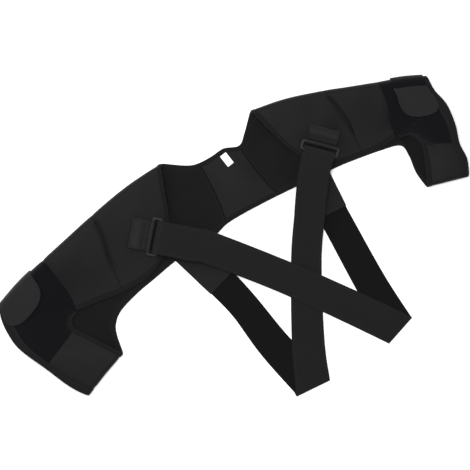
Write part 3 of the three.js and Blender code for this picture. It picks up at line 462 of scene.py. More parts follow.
class Side:
    """A side's front and cuff; sign is -1 on the left and 1 on the right"""

    def __init__(self, sign):
        self.sign = sign
        self.s = sizes()
        self.bound = bound_thickness()
        self.front = FRONT[sign]
        self.cuff = CUFF[sign]
        s = self.s
        per_start = self.per_millimetre(self.cuff, 0, SEAM_STOP)
        per_end = self.per_millimetre(self.cuff, 1, MIDDLE_STOP)
        self.binding_end = s.binding_width * per_start
        self.panel_start = self.binding_end + 2 * s.joint_gap * per_start
        self.hem_start = CUFF_END - s.cuff_hem * per_end
        self.gap = s.joint_gap * per_end
        self.cuff_end = self.hem_start - self.gap

    def plan(self, uv):
        return np.asarray(uv) * (self.sign * self.s.reach, self.s.depth)

    def per_millimetre(self, rows, at, stop):
        """How much of the way from one row of a table to the next a millimetre is, at one of its stops"""
        a, b = (self.plan(rows[i][2 * stop : 2 * stop + 2]) for i in (at, at + 1))
        return 1 / np.linalg.norm(b - a)

    def section(self, rows, at):
        """A section of the front or the cuff at a place between the rows of its table"""
        s = self.s
        values = row_at(rows, at)
        count = CUFF_STOPS if rows is self.cuff else FRONT_STOPS
        stops = self.plan(values[: 2 * count].reshape(-1, 2))
        line = Line(stops)

        def stretch(stop, inner):
            """How much longer a fold's half round is along the section, where it crosses the fold aslant"""
            pair = slice(2 * stop, 2 * stop + 2)
            before, after = (self.plan(row_at(rows, at + step)[pair]) for step in (-SLOPE_STEP, SLOPE_STEP))
            return 1 / max(slant(after - before, inner - stops[stop]), LEAST_FOLD_SLANT)

        return SimpleNamespace(
            line=line,
            height=s.fold_height * values[2 * count],
            stretch=stretch(0, line.at(s.fold_height)),
            under_height=s.underarm_height * values[-1] if rows is self.cuff else 0,
            under_stretch=stretch(count - 1, line.at(line.length - s.underarm_height)),
        )

    def points(self, section, distance, z):
        distance, z = np.broadcast_arrays(np.asarray(distance, float), np.asarray(z, float))
        xy = section.line.at(distance)
        z = z + np.where(distance > self.s.fold_height, lift(xy), 0)
        return np.concatenate([xy, (z + softness(xy, z))[..., None]], axis=-1)

    def fold(self, section):
        return self.points(section, *fold_profile(section.height, section.stretch))

    def under_fold(self, section):
        distance, z = fold_profile(section.under_height, section.under_stretch)
        return self.points(section, section.line.length - distance[::-1], z[::-1])

    def crease(self, at):
        """How far the panels sink towards the seam at a place between the rows of the front"""
        per_mm = self.per_millimetre(self.front, DART_ROW - 1, 1)
        return sum(depth * math.exp(-(((at - row) / per_mm / wide) ** 2)) for row, depth, wide in CREASES)

    def rest_height(self):
        return self.bound + self.s.clearance + self.bound / 2

    def front_row(self, at, start=None, end=0, count=40):
        """A row of the front: from the fold, or from start millimetres before the hem, to end before it"""
        section = self.section(self.front, at)
        total = section.line.length
        inset = section.height / 2 * section.stretch
        crest = section.height - self.s.wall / 2
        first = inset if start is None else total - start
        distance = np.linspace(first, total - end, count + 1)
        z = mix(crest, self.rest_height(), ease((distance - inset) / (total - inset)))
        z = z - self.crease(at) * ease((z - self.rest_height()) / CREASE_FADE)
        row = self.points(section, distance, z)
        return row if start is not None else np.concatenate([self.fold(section), row[1:]])

    def cuff_section(self, at):
        return self.section(self.cuff, at)

    def cuff_points(self, section, at, distance):
        s, line = self.s, section.line
        corner = line.to_stop(CORNER_STOP)
        inset = section.height / 2 * section.stretch
        under = section.under_height / 2 * section.under_stretch
        crest, under_crest = section.height - s.wall / 2, section.under_height - s.wall / 2
        above = mix(crest, self.rest_height(), ease((distance - inset) / (corner - inset)))
        end = line.length - under
        below = mix(self.rest_height(), under_crest, ease((distance - corner) / (end - corner)))
        f = np.clip((distance - inset) / (end - inset), 0, 1)
        dome = mix(crest, under_crest, ease(f)) + s.cuff_dome * np.sin(np.pi * f)
        seam = np.where(distance < corner, above, below)
        return self.points(section, distance, mix(seam, dome, ease(at / DOME_ROWS)))

    def cuff_marks(self, section):
        """Distances of the fold's end, the hem corner, the patch's lower seam and the underarm"""
        line = section.line
        start = section.height / 2 * section.stretch
        end = line.length - section.under_height / 2 * section.under_stretch
        return start, line.to_stop(CORNER_STOP), line.to_stop(SEAM_STOP), end


# The back


def back_line(at):
    s = sizes()
    row = row_at(BACK, at, CORNERS)
    top, hem = row[:2] * (s.reach, s.depth), row[2:4] * (s.reach, s.depth)
    chord = hem - top
    sideways = np.array([-chord[1], chord[0]]) * row[4]
    f = np.linspace(0, 1, 7)[:, None]
    return Line(top + chord * f + sideways * 4 * f * (1 - f), 24)


def back_points(at, line, distance, thickness):
    f = np.clip((at - SEAM_LEFT) / (SEAM_RIGHT - SEAM_LEFT), 0, 1)
    share = mix(DOME_AT_EDGE, 1, np.sin(np.pi * distance / line.length))
    dome = sizes().back_dome * np.sin(np.pi * f) * share
    xy = line.at(distance)
    return np.concatenate([xy, (thickness / 2 + dome + lift(xy))[..., None]], axis=-1)


def back_edges(at, line):
    """Where the upper and lower edges stop, behind a binding or beside a fold, and their slants"""
    s = sizes()
    other = back_line(at + (SLOPE_STEP if at < len(BACK) / 2 else -SLOPE_STEP))

    def edge_slant(corner, next_corner, inner):
        return max(LEAST_EDGE_SLANT, slant(next_corner - corner, inner - corner))

    full, inside = line.length, s.fold_height
    top_slant = edge_slant(line.at(0), other.at(0), line.at(inside))
    hem_slant = edge_slant(line.at(full), other.at(other.length), line.at(full - inside))
    bound = s.binding_width - TUCK
    top = bound if NECK_LEFT < at < NECK_RIGHT else s.fold_height / 2 + s.hidden_joint
    hem = bound if UNDERARM_LEFT < at < UNDERARM_RIGHT else s.underarm_height / 2 + s.hidden_joint
    return top / top_slant, full - hem / hem_slant, top_slant, hem_slant


def back_row(at, to_corner=False, count=36):
    """A row of the back's middle layer; at an underarm corner it runs on to fill the wedge there"""
    line = back_line(at)
    start, end, _, _ = back_edges(at, line)
    end = line.length - CORNER_REACH if to_corner else end
    return back_points(at, line, np.linspace(start, end, count + 1), sizes().wall)


def back_rows(start, end, per_row=7):
    places = np.linspace(start, end, round((end - start) * per_row) + 1)
    corners = [c for c in CORNERS if start < c < end]
    places = [at for at in places if all(abs(at - c) >= CLEAR_OF_CORNER for c in corners)]
    places += [c + step for c in corners for step in (-NECK_STEP, NECK_STEP)]
    ends = (UNDERARM_LEFT, UNDERARM_RIGHT)
    return [back_row(at, min(abs(at - c) for c in ends) < 2 * NECK_STEP) for at in sorted(places)]


def cuff_back_rows(side, underarm_at):
    """Below a cuff the back follows the cuff's own section at the open end"""
    s = side.s
    section = side.cuff_section(side.cuff_end)
    start = (section.height / 2 + s.hidden_joint) * section.stretch
    end = section.line.length - (section.under_height / 2 + s.hidden_joint) * section.under_stretch
    at_underarm = back_row(underarm_at)
    at_end = side.points(section, np.linspace(start, end, len(at_underarm)), s.wall / 2)
    rows = [mix(at_end, at_underarm, f) for f in np.linspace(0, 1, CUFF_BACK_ROWS)]
    return [*rows[:-1], back_row(underarm_at, True)]


# Meshes from grids of points


def grid_normals(grid, ring=False, tangents=None):
    along = np.gradient(grid, axis=0) if tangents is None else tangents
    if ring:
        wide = np.concatenate([grid[:, -2:-1], grid, grid[:, 1:2]], axis=1)
        across = wide[:, 2:] - wide[:, :-2]
    else:
        across = np.gradient(grid, axis=1)
    return unit(np.cross(along, across))


def inset_ends(grid, axis, distance):
    """Moves a grid's first and last lines inwards, to leave room for the rounded rim"""
    grid = np.moveaxis(grid, axis, 0).copy()
    for edge, inner in ((0, 1), (-1, -2)):
        step = grid[inner] - grid[edge]
        size = np.linalg.norm(step, axis=-1, keepdims=True)
        grid[edge] += step / np.maximum(size, TINY) * np.minimum(distance, size * MOST_INSET)
    return np.moveaxis(grid, 0, axis)


def nearest_on_border(points, border):
    """For each point, its distance to a closed border and how far along the border that is"""
    a, b = border, np.roll(border, -1, axis=0)
    step = b - a
    size = np.linalg.norm(step, axis=1)
    start = np.concatenate([[0], np.cumsum(size)[:-1]])
    f = np.clip(((points[:, None] - a) * step).sum(-1) / np.maximum(size**2, TINY), 0, 1)
    gap = np.linalg.norm(points[:, None] - a - f[..., None] * step, axis=-1)
    best = gap.argmin(axis=1)
    rows = np.arange(len(points))
    return gap[rows, best], start[best] + f[rows, best] * size[best]


def relaxed(grid, times):
    """A grid whose inner points are evened out between their neighbours, past the fold's own columns"""
    share = ease((np.arange(grid.shape[1]) - FOLD_STEPS) / EVENING_RAMP)[None, 1:-1, None]
    for _ in range(times):
        even = (grid[:-2, 1:-1] + grid[2:, 1:-1] + grid[1:-1, :-2] + grid[1:-1, 2:]) / 4
        grid[1:-1, 1:-1] = mix(grid[1:-1, 1:-1], even, share)
    return grid


def cut_size(grid):
    """Width, length and area in metres of the flat cloth that a grid of middle points was cut from"""
    width = np.linalg.norm(np.diff(grid, axis=1), axis=-1).sum(axis=1).max()
    run = np.linalg.norm(np.diff(grid, axis=0), axis=-1).sum(axis=0).max()
    diagonals = np.cross(grid[1:, 1:] - grid[:-1, :-1], grid[1:, :-1] - grid[:-1, 1:])
    return width / 1000, run / 1000, np.linalg.norm(diagonals, axis=-1).sum() / 2e6


def borders_of(grid, ids, ring):
    """The grid's borders as rows of point numbers, each with the directions that lead into the cloth"""
    first, last = unit(grid[1] - grid[0]), unit(grid[-2] - grid[-1])
    if ring:
        return [(ids[0], first), (ids[-1], last)]
    to_rows, to_columns = np.zeros_like(grid), np.zeros_like(grid)
    to_rows[0], to_rows[-1] = first, last
    to_columns[:, 0], to_columns[:, -1] = unit(grid[:, 1] - grid[:, 0]), unit(grid[:, -2] - grid[:, -1])
    round_it = np.concatenate([ids[0, :-1], ids[:-1, -1], ids[-1, :0:-1], ids[:0:-1, 0]])
    return [(round_it, unit(to_rows + to_columns).reshape(-1, 3)[round_it])]


def run_along(grid, axis):
    """How far each point of a grid is along its own line, from the grid's first line"""
    steps = np.linalg.norm(np.diff(grid, axis=axis), axis=-1)
    zero = np.zeros_like(steps.take([0], axis))
    return np.concatenate([zero, np.cumsum(steps, axis)], axis)


def edge_map(grid, across, along, round_it, ring, band):
    """For each point, how far along the nearest border it is, and how far from that border"""
    n, m = grid.shape[:2]
    if ring:
        step = np.linalg.norm(np.diff(grid, axis=0), axis=-1).mean()
        gap = np.minimum(np.arange(n), np.arange(n)[::-1])[:, None] * np.full((1, m), step)
        return across.ravel(), gap.ravel()
    if band:
        return along.ravel(), np.minimum(across, across[:, -1:] - across).ravel()
    flat = grid.reshape(-1, 3)
    gap, run = nearest_on_border(flat, flat[round_it])
    return run, gap


def strip_faces(low, high, closed):
    count = len(low) if closed else len(low) - 1
    corners = np.stack([low, np.roll(low, -1), np.roll(high, -1), high], axis=1)
    return [tuple(face) for face in corners[:count]]


def shell(grid, thickness, ring=False, tangents=None, rim=RIM, dip=0.0, band=False):
    """A wall about a grid of middle points, with rounded rims, as points, faces and two UV maps. A band's
    second map follows its two long sides, and any other shell's follows its whole border."""
    grid = np.array(grid, float)
    cut = cut_size(grid)
    r = thickness / 2
    grid = inset_ends(grid, 0, r)
    if not ring:
        grid = inset_ends(grid, 1, r)
    n, m = grid.shape[:2]
    ids = np.arange(n * m).reshape(n, m)
    borders = borders_of(grid, ids, ring)
    flat, normals = grid.reshape(-1, 3), grid_normals(grid, ring, tangents).reshape(-1, 3)
    across, along = run_along(grid, 1), run_along(grid, 0)
    weave = np.stack([across.ravel(), along.ravel()], axis=1)
    edge_run, edge_gap = edge_map(grid, across, along, borders[0][0], ring, band)
    hollow = dip * np.exp(-((edge_gap / DIP_REACH) ** 2))[:, None]
    points = [flat + normals * (r - hollow), flat - normals * r]
    edges = np.stack([edge_run, edge_gap + r], axis=1)
    weaves, edge_maps = [weave, weave], [edges, edges]
    squares = np.stack([ids[:-1, :-1], ids[:-1, 1:], ids[1:, 1:], ids[1:, :-1]], axis=-1).reshape(-1, 4)
    outer = len(squares)
    faces = [*map(tuple, squares), *map(tuple, squares[:, [0, 3, 2, 1]] + n * m)]
    count = 2 * n * m
    for number, (line, inward) in enumerate(borders):
        outward = unit(-inward + normals[line] * (inward * normals[line]).sum(-1, keepdims=True))
        above = r - hollow[line]
        previous = line
        rim_faces = []
        for k in range(1, rim):
            angle = np.pi / 2 - np.pi * k / rim
            rise = np.where(angle > 0, above, r) * np.sin(angle)
            points.append(flat[line] + outward * r * np.cos(angle) + normals[line] * rise)
            weaves.append(weave[line])
            gap = np.full(len(line), r * (1 - np.cos(angle)))
            edge_maps.append(np.stack([edge_run[line], gap], axis=1))
            current = np.arange(count, count + len(line))
            count += len(line)
            rim_faces += strip_faces(current, previous, not ring)
            previous = current
        rim_faces += strip_faces(line + n * m, previous, not ring)
        faces += [face[::-1] for face in rim_faces] if number else rim_faces
    return SimpleNamespace(
        points=np.concatenate(points),
        faces=faces,
        inner=(outer, 2 * outer),
        cut=cut,
        weave=np.concatenate(weaves) / 1000,
        edge=np.concatenate(edge_maps) / 1000,
    )


def pieces_collection():
    name = "Brace"
    if name not in bpy.data.collections:
        bpy.context.scene.collection.children.link(bpy.data.collections.new(name))
    return bpy.data.collections[name]


def new_mesh(name, body, matrix=None):
    points = body.points
    if matrix is not None:
        points = points @ matrix[:3, :3].T + matrix[:3, 3]
    mesh = bpy.data.meshes.new(name)
    faces = [tuple(map(int, face)) for face in body.faces]
    mesh.from_pydata((points / 1000 + plan_shift()).tolist(), [], faces)
    return mesh


def mesh_piece(name, body, materials, matrix=None, inner_material=False):
    """Adds a shell to the scene as the piece that stands for its CAD node, and hides the node"""
    mesh = new_mesh(name, body, matrix)
    corners = np.array([loop.vertex_index for loop in mesh.loops])
    for title, values in (("weave", body.weave), ("edge", body.edge)):
        layer = mesh.uv_layers.new(name=title)
        layer.data.foreach_set("uv", values[corners].astype(np.float32).ravel())
    for material in materials:
        mesh.materials.append(material)
    for polygon in mesh.polygons:
        polygon.use_smooth = True
        if inner_material and body.inner[0] <= polygon.index < body.inner[1]:
            polygon.material_index = 1
    shape = bmesh.new()
    shape.from_mesh(mesh)
    bmesh.ops.remove_doubles(shape, verts=shape.verts, dist=1e-6)
    if shape.calc_volume(signed=True) < 0:
        bmesh.ops.reverse_faces(shape, faces=shape.faces)
    shape.to_mesh(mesh)
    shape.free()
    obj = bpy.data.objects.new(name + "_look", mesh)
    pieces_collection().objects.link(obj)
    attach(obj, "root")
    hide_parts(name)
    return obj


class Pile:
    """What has been laid down so far, which tells how high it is above a point on the plan"""

    def __init__(self):
        points, faces = [], []
        for obj in pieces_collection().objects:
            start = len(points)
            points += [vertex.co[:] for vertex in obj.data.vertices]
            faces += [tuple(start + k for k in polygon.vertices) for polygon in obj.data.polygons]
        self.shift = plan_shift()
        self.tree = BVHTree.FromPolygons(points, faces)

    def top(self, x, y):
        """Height of the highest piece at a place on the plan, or 0 for the bare table"""
        place = np.array([x, y, 0]) / 1000 + self.shift
        hit = self.tree.ray_cast((place[0], place[1], 1), (0, 0, -1))
        return max(hit[0].z * 1000, 0) if hit[0] else 0

    def near(self, x, y, radius):
        """The greatest height within a radius, measured on three rings"""
        spots = [(0, 0)]
        for r in (radius / 3, radius * 2 / 3, radius):
            spots += [(r * math.cos(k * math.pi / 6), r * math.sin(k * math.pi / 6)) for k in range(12)]
        return max(self.top(x + dx, y + dy) for dx, dy in spots)


# Materials

THREAD_SHARE = 0.78  # how much of a stitch shows before the thread goes down again
GROOVE_DEPTH, THREAD_HEIGHT = 1.5, 1.2  # of a stitch row, in heights of the weave
CLOUDS, LINT = (26.0, 4.0), (900.0, 2.0)  # scale and detail of the dye's clouds and of the lint


def new_group(name, inputs, outputs):
    """A shader node group with named sockets: pairs of name and socket type, with a default for inputs"""
    tree = bpy.data.node_groups.new(name, "ShaderNodeTree")
    for title, kind, default in inputs:
        socket = tree.interface.new_socket(name=title, in_out="INPUT", socket_type=kind)
        socket.default_value = default
    for title, kind in outputs:
        tree.interface.new_socket(name=title, in_out="OUTPUT", socket_type=kind)
    return tree, tree.nodes.new("NodeGroupInput"), tree.nodes.new("NodeGroupOutput")


def wire(tree, value, socket):
    if isinstance(value, bpy.types.NodeSocket):
        tree.links.new(value, socket)
    else:
        socket.default_value = value


def calc(tree, operation, *values):
    node = tree.nodes.new("ShaderNodeMath")
    node.operation = operation
    for value, socket in zip(values, node.inputs):
        wire(tree, value, socket)
    return node.outputs[0]


def blend_colour(tree, factor, a, b):
    node = tree.nodes.new("ShaderNodeMix")
    node.data_type = "RGBA"
    for value, index in ((factor, 0), (a, 6), (b, 7)):
        wire(tree, value, node.inputs[index])
    return node.outputs[2]


def map_parts(tree, name):
    uv = tree.nodes.new("ShaderNodeUVMap")
    uv.uv_map = name
    parts = tree.nodes.new("ShaderNodeSeparateXYZ")
    tree.links.new(uv.outputs[0], parts.inputs[0])
    return parts.outputs[0], parts.outputs[1]


def weave_group():
    """A knit or weave: rows of small rounded loops"""
    if "Weave" in bpy.data.node_groups:
        return bpy.data.node_groups["Weave"]
    inputs = [("Pitch Across", "NodeSocketFloat", 0.001), ("Pitch Along", "NodeSocketFloat", 0.001)]
    tree, source, result = new_group("Weave", inputs, [("Height", "NodeSocketFloat")])
    u, v = map_parts(tree, "weave")
    across = calc(tree, "DIVIDE", u, source.outputs[0])
    along = calc(tree, "DIVIDE", v, source.outputs[1])
    row = calc(tree, "MULTIPLY", calc(tree, "FLOOR", along), 0.5)
    bumps = [
        calc(tree, "ABSOLUTE", calc(tree, "SINE", calc(tree, "MULTIPLY", place, math.pi)))
        for place in (calc(tree, "ADD", across, row), along)
    ]
    tree.links.new(calc(tree, "MULTIPLY", *bumps), result.inputs[0])
    return tree


def stitch_group():
    """Rows of stitches at a distance from a piece's border: a thread colour and sunk height"""
    if "Stitches" in bpy.data.node_groups:
        return bpy.data.node_groups["Stitches"]
    inputs = [
        ("Color", "NodeSocketColor", (0, 0, 0, 1)),
        ("Thread", "NodeSocketColor", (0, 0, 0, 1)),
        ("Height", "NodeSocketFloat", 0.0),
        ("Distance", "NodeSocketFloat", 0.002),
        ("Length", "NodeSocketFloat", 0.003),
        ("Width", "NodeSocketFloat", 0.0006),
    ]
    outputs = [("Color", "NodeSocketColor"), ("Height", "NodeSocketFloat")]
    tree, source, result = new_group("Stitches", inputs, outputs)
    pins = source.outputs
    run, gap = map_parts(tree, "edge")
    offset = calc(tree, "ABSOLUTE", calc(tree, "SUBTRACT", gap, pins["Distance"]))
    groove_reach = calc(tree, "MULTIPLY", pins["Width"], 2)
    groove = calc(tree, "SUBTRACT", 1, calc(tree, "DIVIDE", offset, groove_reach))
    groove = calc(tree, "MAXIMUM", groove, 0)
    line = calc(tree, "LESS_THAN", offset, calc(tree, "MULTIPLY", pins["Width"], 0.5))
    stitch = calc(tree, "FRACT", calc(tree, "DIVIDE", run, pins["Length"]))
    dash = calc(tree, "LESS_THAN", stitch, THREAD_SHARE)
    thread = calc(tree, "MULTIPLY", line, dash)
    tree.links.new(blend_colour(tree, thread, pins["Color"], pins["Thread"]), result.inputs[0])
    height = calc(tree, "SUBTRACT", pins["Height"], calc(tree, "MULTIPLY", groove, GROOVE_DEPTH))
    raised = calc(tree, "MULTIPLY", thread, THREAD_HEIGHT)
    tree.links.new(calc(tree, "ADD", height, raised), result.inputs[1])
    return tree


def wear_group():
    """Uneven dye and lint: a colour and a roughness that change softly over the cloth"""
    if "Wear" in bpy.data.node_groups:
        return bpy.data.node_groups["Wear"]
    inputs = [
        ("Color", "NodeSocketColor", (0, 0, 0, 1)),
        ("Roughness", "NodeSocketFloat", 0.8),
        ("Amount", "NodeSocketFloat", 0.2),
    ]
    outputs = [("Color", "NodeSocketColor"), ("Roughness", "NodeSocketFloat")]
    tree, source, result = new_group("Wear", inputs, outputs)
    place = tree.nodes.new("ShaderNodeTexCoord")
    masks = []
    for scale, detail in (CLOUDS, LINT):
        noise = tree.nodes.new("ShaderNodeTexNoise")
        noise.inputs["Scale"].default_value = scale
        noise.inputs["Detail"].default_value = detail
        tree.links.new(place.outputs["Object"], noise.inputs["Vector"])
        masks.append(noise.outputs[0])
    tone = calc(tree, "SUBTRACT", calc(tree, "ADD", masks[0], calc(tree, "MULTIPLY", masks[1], 0.5)), 0.75)
    strength = calc(tree, "MULTIPLY", calc(tree, "MULTIPLY", tone, source.outputs["Amount"]), 3)
    factor = calc(tree, "ADD", strength, 1)
    bright = tree.nodes.new("ShaderNodeVectorMath")
    bright.operation = "SCALE"
    tree.links.new(source.outputs["Color"], bright.inputs[0])
    tree.links.new(factor, bright.inputs["Scale"])
    tree.links.new(bright.outputs[0], result.inputs[0])
    rough = calc(tree, "ADD", source.outputs["Roughness"], calc(tree, "MULTIPLY", strength, 0.2))
    tree.links.new(rough, result.inputs[1])
    return tree


def new_material(name, values):
    """A material whose shader holds the values, by the names of its sockets"""
    material = bpy.data.materials.new(name)
    material.use_nodes = True
    shader = material.node_tree.nodes["Principled BSDF"]
    for title, value in values.items():
        shader.inputs[title].default_value = value
    return material, material.node_tree, shader


def fabric(name, colour_name, roughness, pitch, depth, **look):
    """A cloth material: its weave by pitch and depth, a stitch row at a distance, and its uneven dye"""
    if name in bpy.data.materials:
        return bpy.data.materials[name]
    look = {"sheen": 0.0, "stitch": None, "dash": 0.003, "wear": 0.12, "specular": 0.12, **look}
    values = {"Sheen Weight": look["sheen"], "Sheen Roughness": 0.45, "Specular IOR Level": look["specular"]}
    material, tree, shader = new_material(name, values)

    def group(kind, values):
        node = tree.nodes.new("ShaderNodeGroup")
        node.node_tree = kind()
        for title, value in values.items():
            wire(tree, value, node.inputs[title])
        return node.outputs

    worn = group(wear_group, {"Color": tint(colour_name), "Roughness": roughness, "Amount": look["wear"]})
    height = group(weave_group, {"Pitch Across": pitch[0], "Pitch Along": pitch[1]})[0]
    cloth = worn["Color"]
    if look["stitch"]:
        thread = {"Thread": tint("thread"), "Distance": look["stitch"], "Length": look["dash"]}
        sewn = group(stitch_group, {"Color": cloth, "Height": height, **thread})
        cloth, height = sewn["Color"], sewn["Height"]
    bump = tree.nodes.new("ShaderNodeBump")
    bump.inputs["Distance"].default_value = depth
    tree.links.new(height, bump.inputs["Height"])
    tree.links.new(cloth, shader.inputs["Base Color"])
    tree.links.new(worn["Roughness"], shader.inputs["Roughness"])
    tree.links.new(bump.outputs[0], shader.inputs["Normal"])
    return material


def neoprene():
    return fabric("Neoprene", "neoprene", 0.6, (0.0009, 0.0012), 0.00012, sheen=0.04)


def lining():
    return fabric("Lining", "lining", 0.72, (0.0009, 0.0012), 0.00012, sheen=0.02, stitch=0.003)


def binding():
    return fabric("Binding", "binding", 0.82, (0.0008, 0.0008), 0.0002, sheen=0.04, stitch=0.0022)


def loop_pile():
    return fabric("Loop pile", "loop", 0.97, (0.0011, 0.0013), 0.0003, sheen=0.08, wear=0.3)


def cuff_band():
    return fabric("Cuff band", "neoprene", 0.7, (0.0009, 0.0012), 0.00015, stitch=0.0028)


def hook_cloth():
    return fabric("Hook tab", "hook", 0.75, (0.0012, 0.0012), 0.0001, sheen=0.15, stitch=0.0025, wear=0.08)


def anchor_webbing():
    return fabric("Anchor webbing", "elastic", 0.75, (0.0011, 0.0007), 0.00015, sheen=0.1, stitch=0.003)


def elastic():
    look = {"sheen": 0.05, "stitch": 0.0035, "dash": SELVEDGE, "wear": 0.1}
    return fabric("Elastic", "elastic", 0.75, (0.0011, 0.0006), 0.0003, **look)


def velvet():
    return fabric("Strap inner face", "velvet", 0.95, (0.0011, 0.0011), 0.0003, sheen=0.1, wear=0.15)


def satin_webbing():
    look = {"stitch": 0.003, "specular": 0.15}
    return fabric("Satin webbing", "webbing", 0.4, (0.0012, 0.0007), 0.0002, **look)


def plain(name, colour_name, roughness, specular=0.5):
    """A material of one colour: the buckles' plastic, the label or the floor"""
    values = {"Base Color": tint(colour_name), "Roughness": roughness, "Specular IOR Level": specular}
    return new_material(name, values)[0]


# Operators


class BackOperator(bpy.types.Operator):
    """Build the back's three panels and the bindings of the neck and the hem"""

    bl_idname = "brace.back"
    bl_label = "Back"

    def execute(self, context):
        s = sizes()
        sides = {sign: Side(sign) for sign in (-1, 1)}
        grids = {
            "back_left": cuff_back_rows(sides[-1], UNDERARM_LEFT - NECK_STEP)
            + back_rows(UNDERARM_LEFT + NECK_STEP, SEAM_LEFT - SEAM_HALF),
            "back_centre": back_rows(SEAM_LEFT + SEAM_HALF, SEAM_RIGHT - SEAM_HALF),
            "back_right": back_rows(SEAM_RIGHT + SEAM_HALF, UNDERARM_RIGHT - NECK_STEP)
            + cuff_back_rows(sides[1], UNDERARM_RIGHT + NECK_STEP)[::-1],
        }
        for name, grid in grids.items():
            # The back's middle piece takes the lighter neoprene colour and its two side pieces the darker
            # lining, though all three are the same cloth: the middle piece's lighter tone is a painted
            # highlight.
            cover = neoprene() if name == "back_centre" else lining()
            body = shell(grid, s.wall, dip=BACK_DIP)
            mesh_piece(name, body, [cover])
        for name, start, end in (
            ("neck_binding", NECK_LEFT, NECK_RIGHT),
            ("hem_binding", UNDERARM_LEFT, UNDERARM_RIGHT),
        ):
            thick = bound_thickness()
            rows = []
            count = (end - start) * BINDING_ROWS + 1
            for at in np.linspace(start + BINDING_START, end - BINDING_START, count):
                line = back_line(at)
                _, _, top_slant, hem_slant = back_edges(at, line)
                near, far = 0, s.binding_width / top_slant
                if name == "hem_binding":
                    near, far = line.length - s.binding_width / hem_slant, line.length
                rows.append(back_points(at, line, np.linspace(near, far, BINDING_LINES), thick))
            mesh_piece(name, shell(rows, thick, rim=BOUND_RIM), [binding()])
        return {"FINISHED"}


def swept(row_at_place, places, thickness, **options):
    """A shell through the rows of a surface, with the surface's own slope at each"""
    rows = [row_at_place(at) for at in places]
    slopes = np.array([row_at_place(at + SWEEP_STEP) - row_at_place(at - SWEEP_STEP) for at in places])
    return shell(rows, thickness, tangents=slopes, **options)


def off_table(row, thickness):
    """The row of middle points, raised where its piece would go through the table"""
    row = row.copy()
    row[:, 2] = np.maximum(row[:, 2], thickness / 2)
    return row


class FrontOperator(bpy.types.Operator):
    """Build the chest and upper-arm panels of both sides with their bindings"""

    bl_idname = "brace.fronts"
    bl_label = "Fronts"

    def execute(self, context):
        s = sizes()
        for sign, name in SIDE_NAMES.items():
            side = Side(sign)
            per_mm = side.per_millimetre(side.front, 0, 0)
            edge, gap = s.binding_width * per_mm, s.joint_gap * per_mm
            seam = SEAM_SHOWN * per_mm / 2
            hem = s.binding_width + s.joint_gap

            def row(at):
                return side.front_row(at, end=hem)

            def bound_row(at):
                return off_table(row(at), side.bound)

            def hem_row(at):
                return side.front_row(at, start=s.binding_width, count=BINDING_LINES - 1)

            chest = np.linspace(edge + gap, DART_ROW - seam, CHEST_ROWS)
            arm = np.linspace(DART_ROW + seam, PATCH_ROW - seam, ARM_ROWS)
            cover = [neoprene()]
            for title, places in (("chest_panel", chest), ("arm_panel", arm)):
                body = swept(row, places, s.wall, dip=FRONT_DIP)
                mesh_piece(f"{title}_{name}", body, cover)
            tape = [binding()]
            body = swept(bound_row, np.linspace(0, edge, BINDING_LINES), side.bound, rim=BOUND_RIM)
            mesh_piece(f"chest_binding_{name}", body, tape)
            places = np.linspace(0, PATCH_ROW - seam, HEM_ROWS)
            body = swept(hem_row, places, side.bound, rim=BOUND_RIM)
            mesh_piece(f"front_hem_binding_{name}", body, tape)
        return {"FINISHED"}


class CuffRows:
    """Rows of points for the pieces of one cuff"""

    def __init__(self, side):
        self.side = side
        self.seam_gap = side.s.clearance / 2

    def armhole_edge(self, share):
        """Rows taken by the armhole's binding, which starts narrower at the hem corner"""
        return self.side.binding_end * mix(ARMHOLE_START, 1, ease(share / ARMHOLE_RAMP))

    def below_corner(self, at, share):
        """A point between the hem corner and the loop patch's lower seam, at a share of the way down"""
        section = self.side.cuff_section(at)
        _, corner, seam, _ = self.side.cuff_marks(section)
        return self.side.cuff_points(section, at, mix(corner, seam - self.seam_gap, share))

    def patch(self, f):
        side = self.side
        at = mix(side.gap / 2, side.cuff_end, f)
        section = side.cuff_section(at)
        start, corner, _, _ = side.cuff_marks(section)
        above = side.cuff_points(section, at, np.linspace(start, corner, PATCH_ABOVE + 1))[1:]
        below = []
        for k in range(1, PATCH_BELOW + 1):
            edge = self.armhole_edge(k / PATCH_BELOW) + side.panel_start - side.binding_end
            below.append(self.below_corner(mix(edge, side.cuff_end, f), k / PATCH_BELOW))
        return np.array([*side.fold(section), *above, *below])

    def lower(self, at):
        section = self.side.cuff_section(at)
        _, _, seam, end = self.side.cuff_marks(section)
        row = self.side.cuff_points(section, at, np.linspace(seam + self.seam_gap, end, LOWER_POINTS))
        return np.concatenate([row, self.side.under_fold(section)[1:]])

    def armhole(self, f):
        shares = [k / PATCH_BELOW for k in range(1, PATCH_BELOW + 1)]
        upper = np.array([self.below_corner(f * self.armhole_edge(share), share) for share in shares])
        return off_table(np.concatenate([upper, self.lower(f * self.side.binding_end)]), self.side.bound)

    def hem(self, at):
        side = self.side
        section = side.cuff_section(at)
        start, _, _, end = side.cuff_marks(section)
        top = side.cuff_points(section, at, np.linspace(start, end, CUFF_POINTS))
        bottom = side.points(section, np.linspace(end, start, LOWER_POINTS), side.s.wall / 2)
        return np.concatenate([side.fold(section), top[1:-1], side.under_fold(section), bottom[1:]])


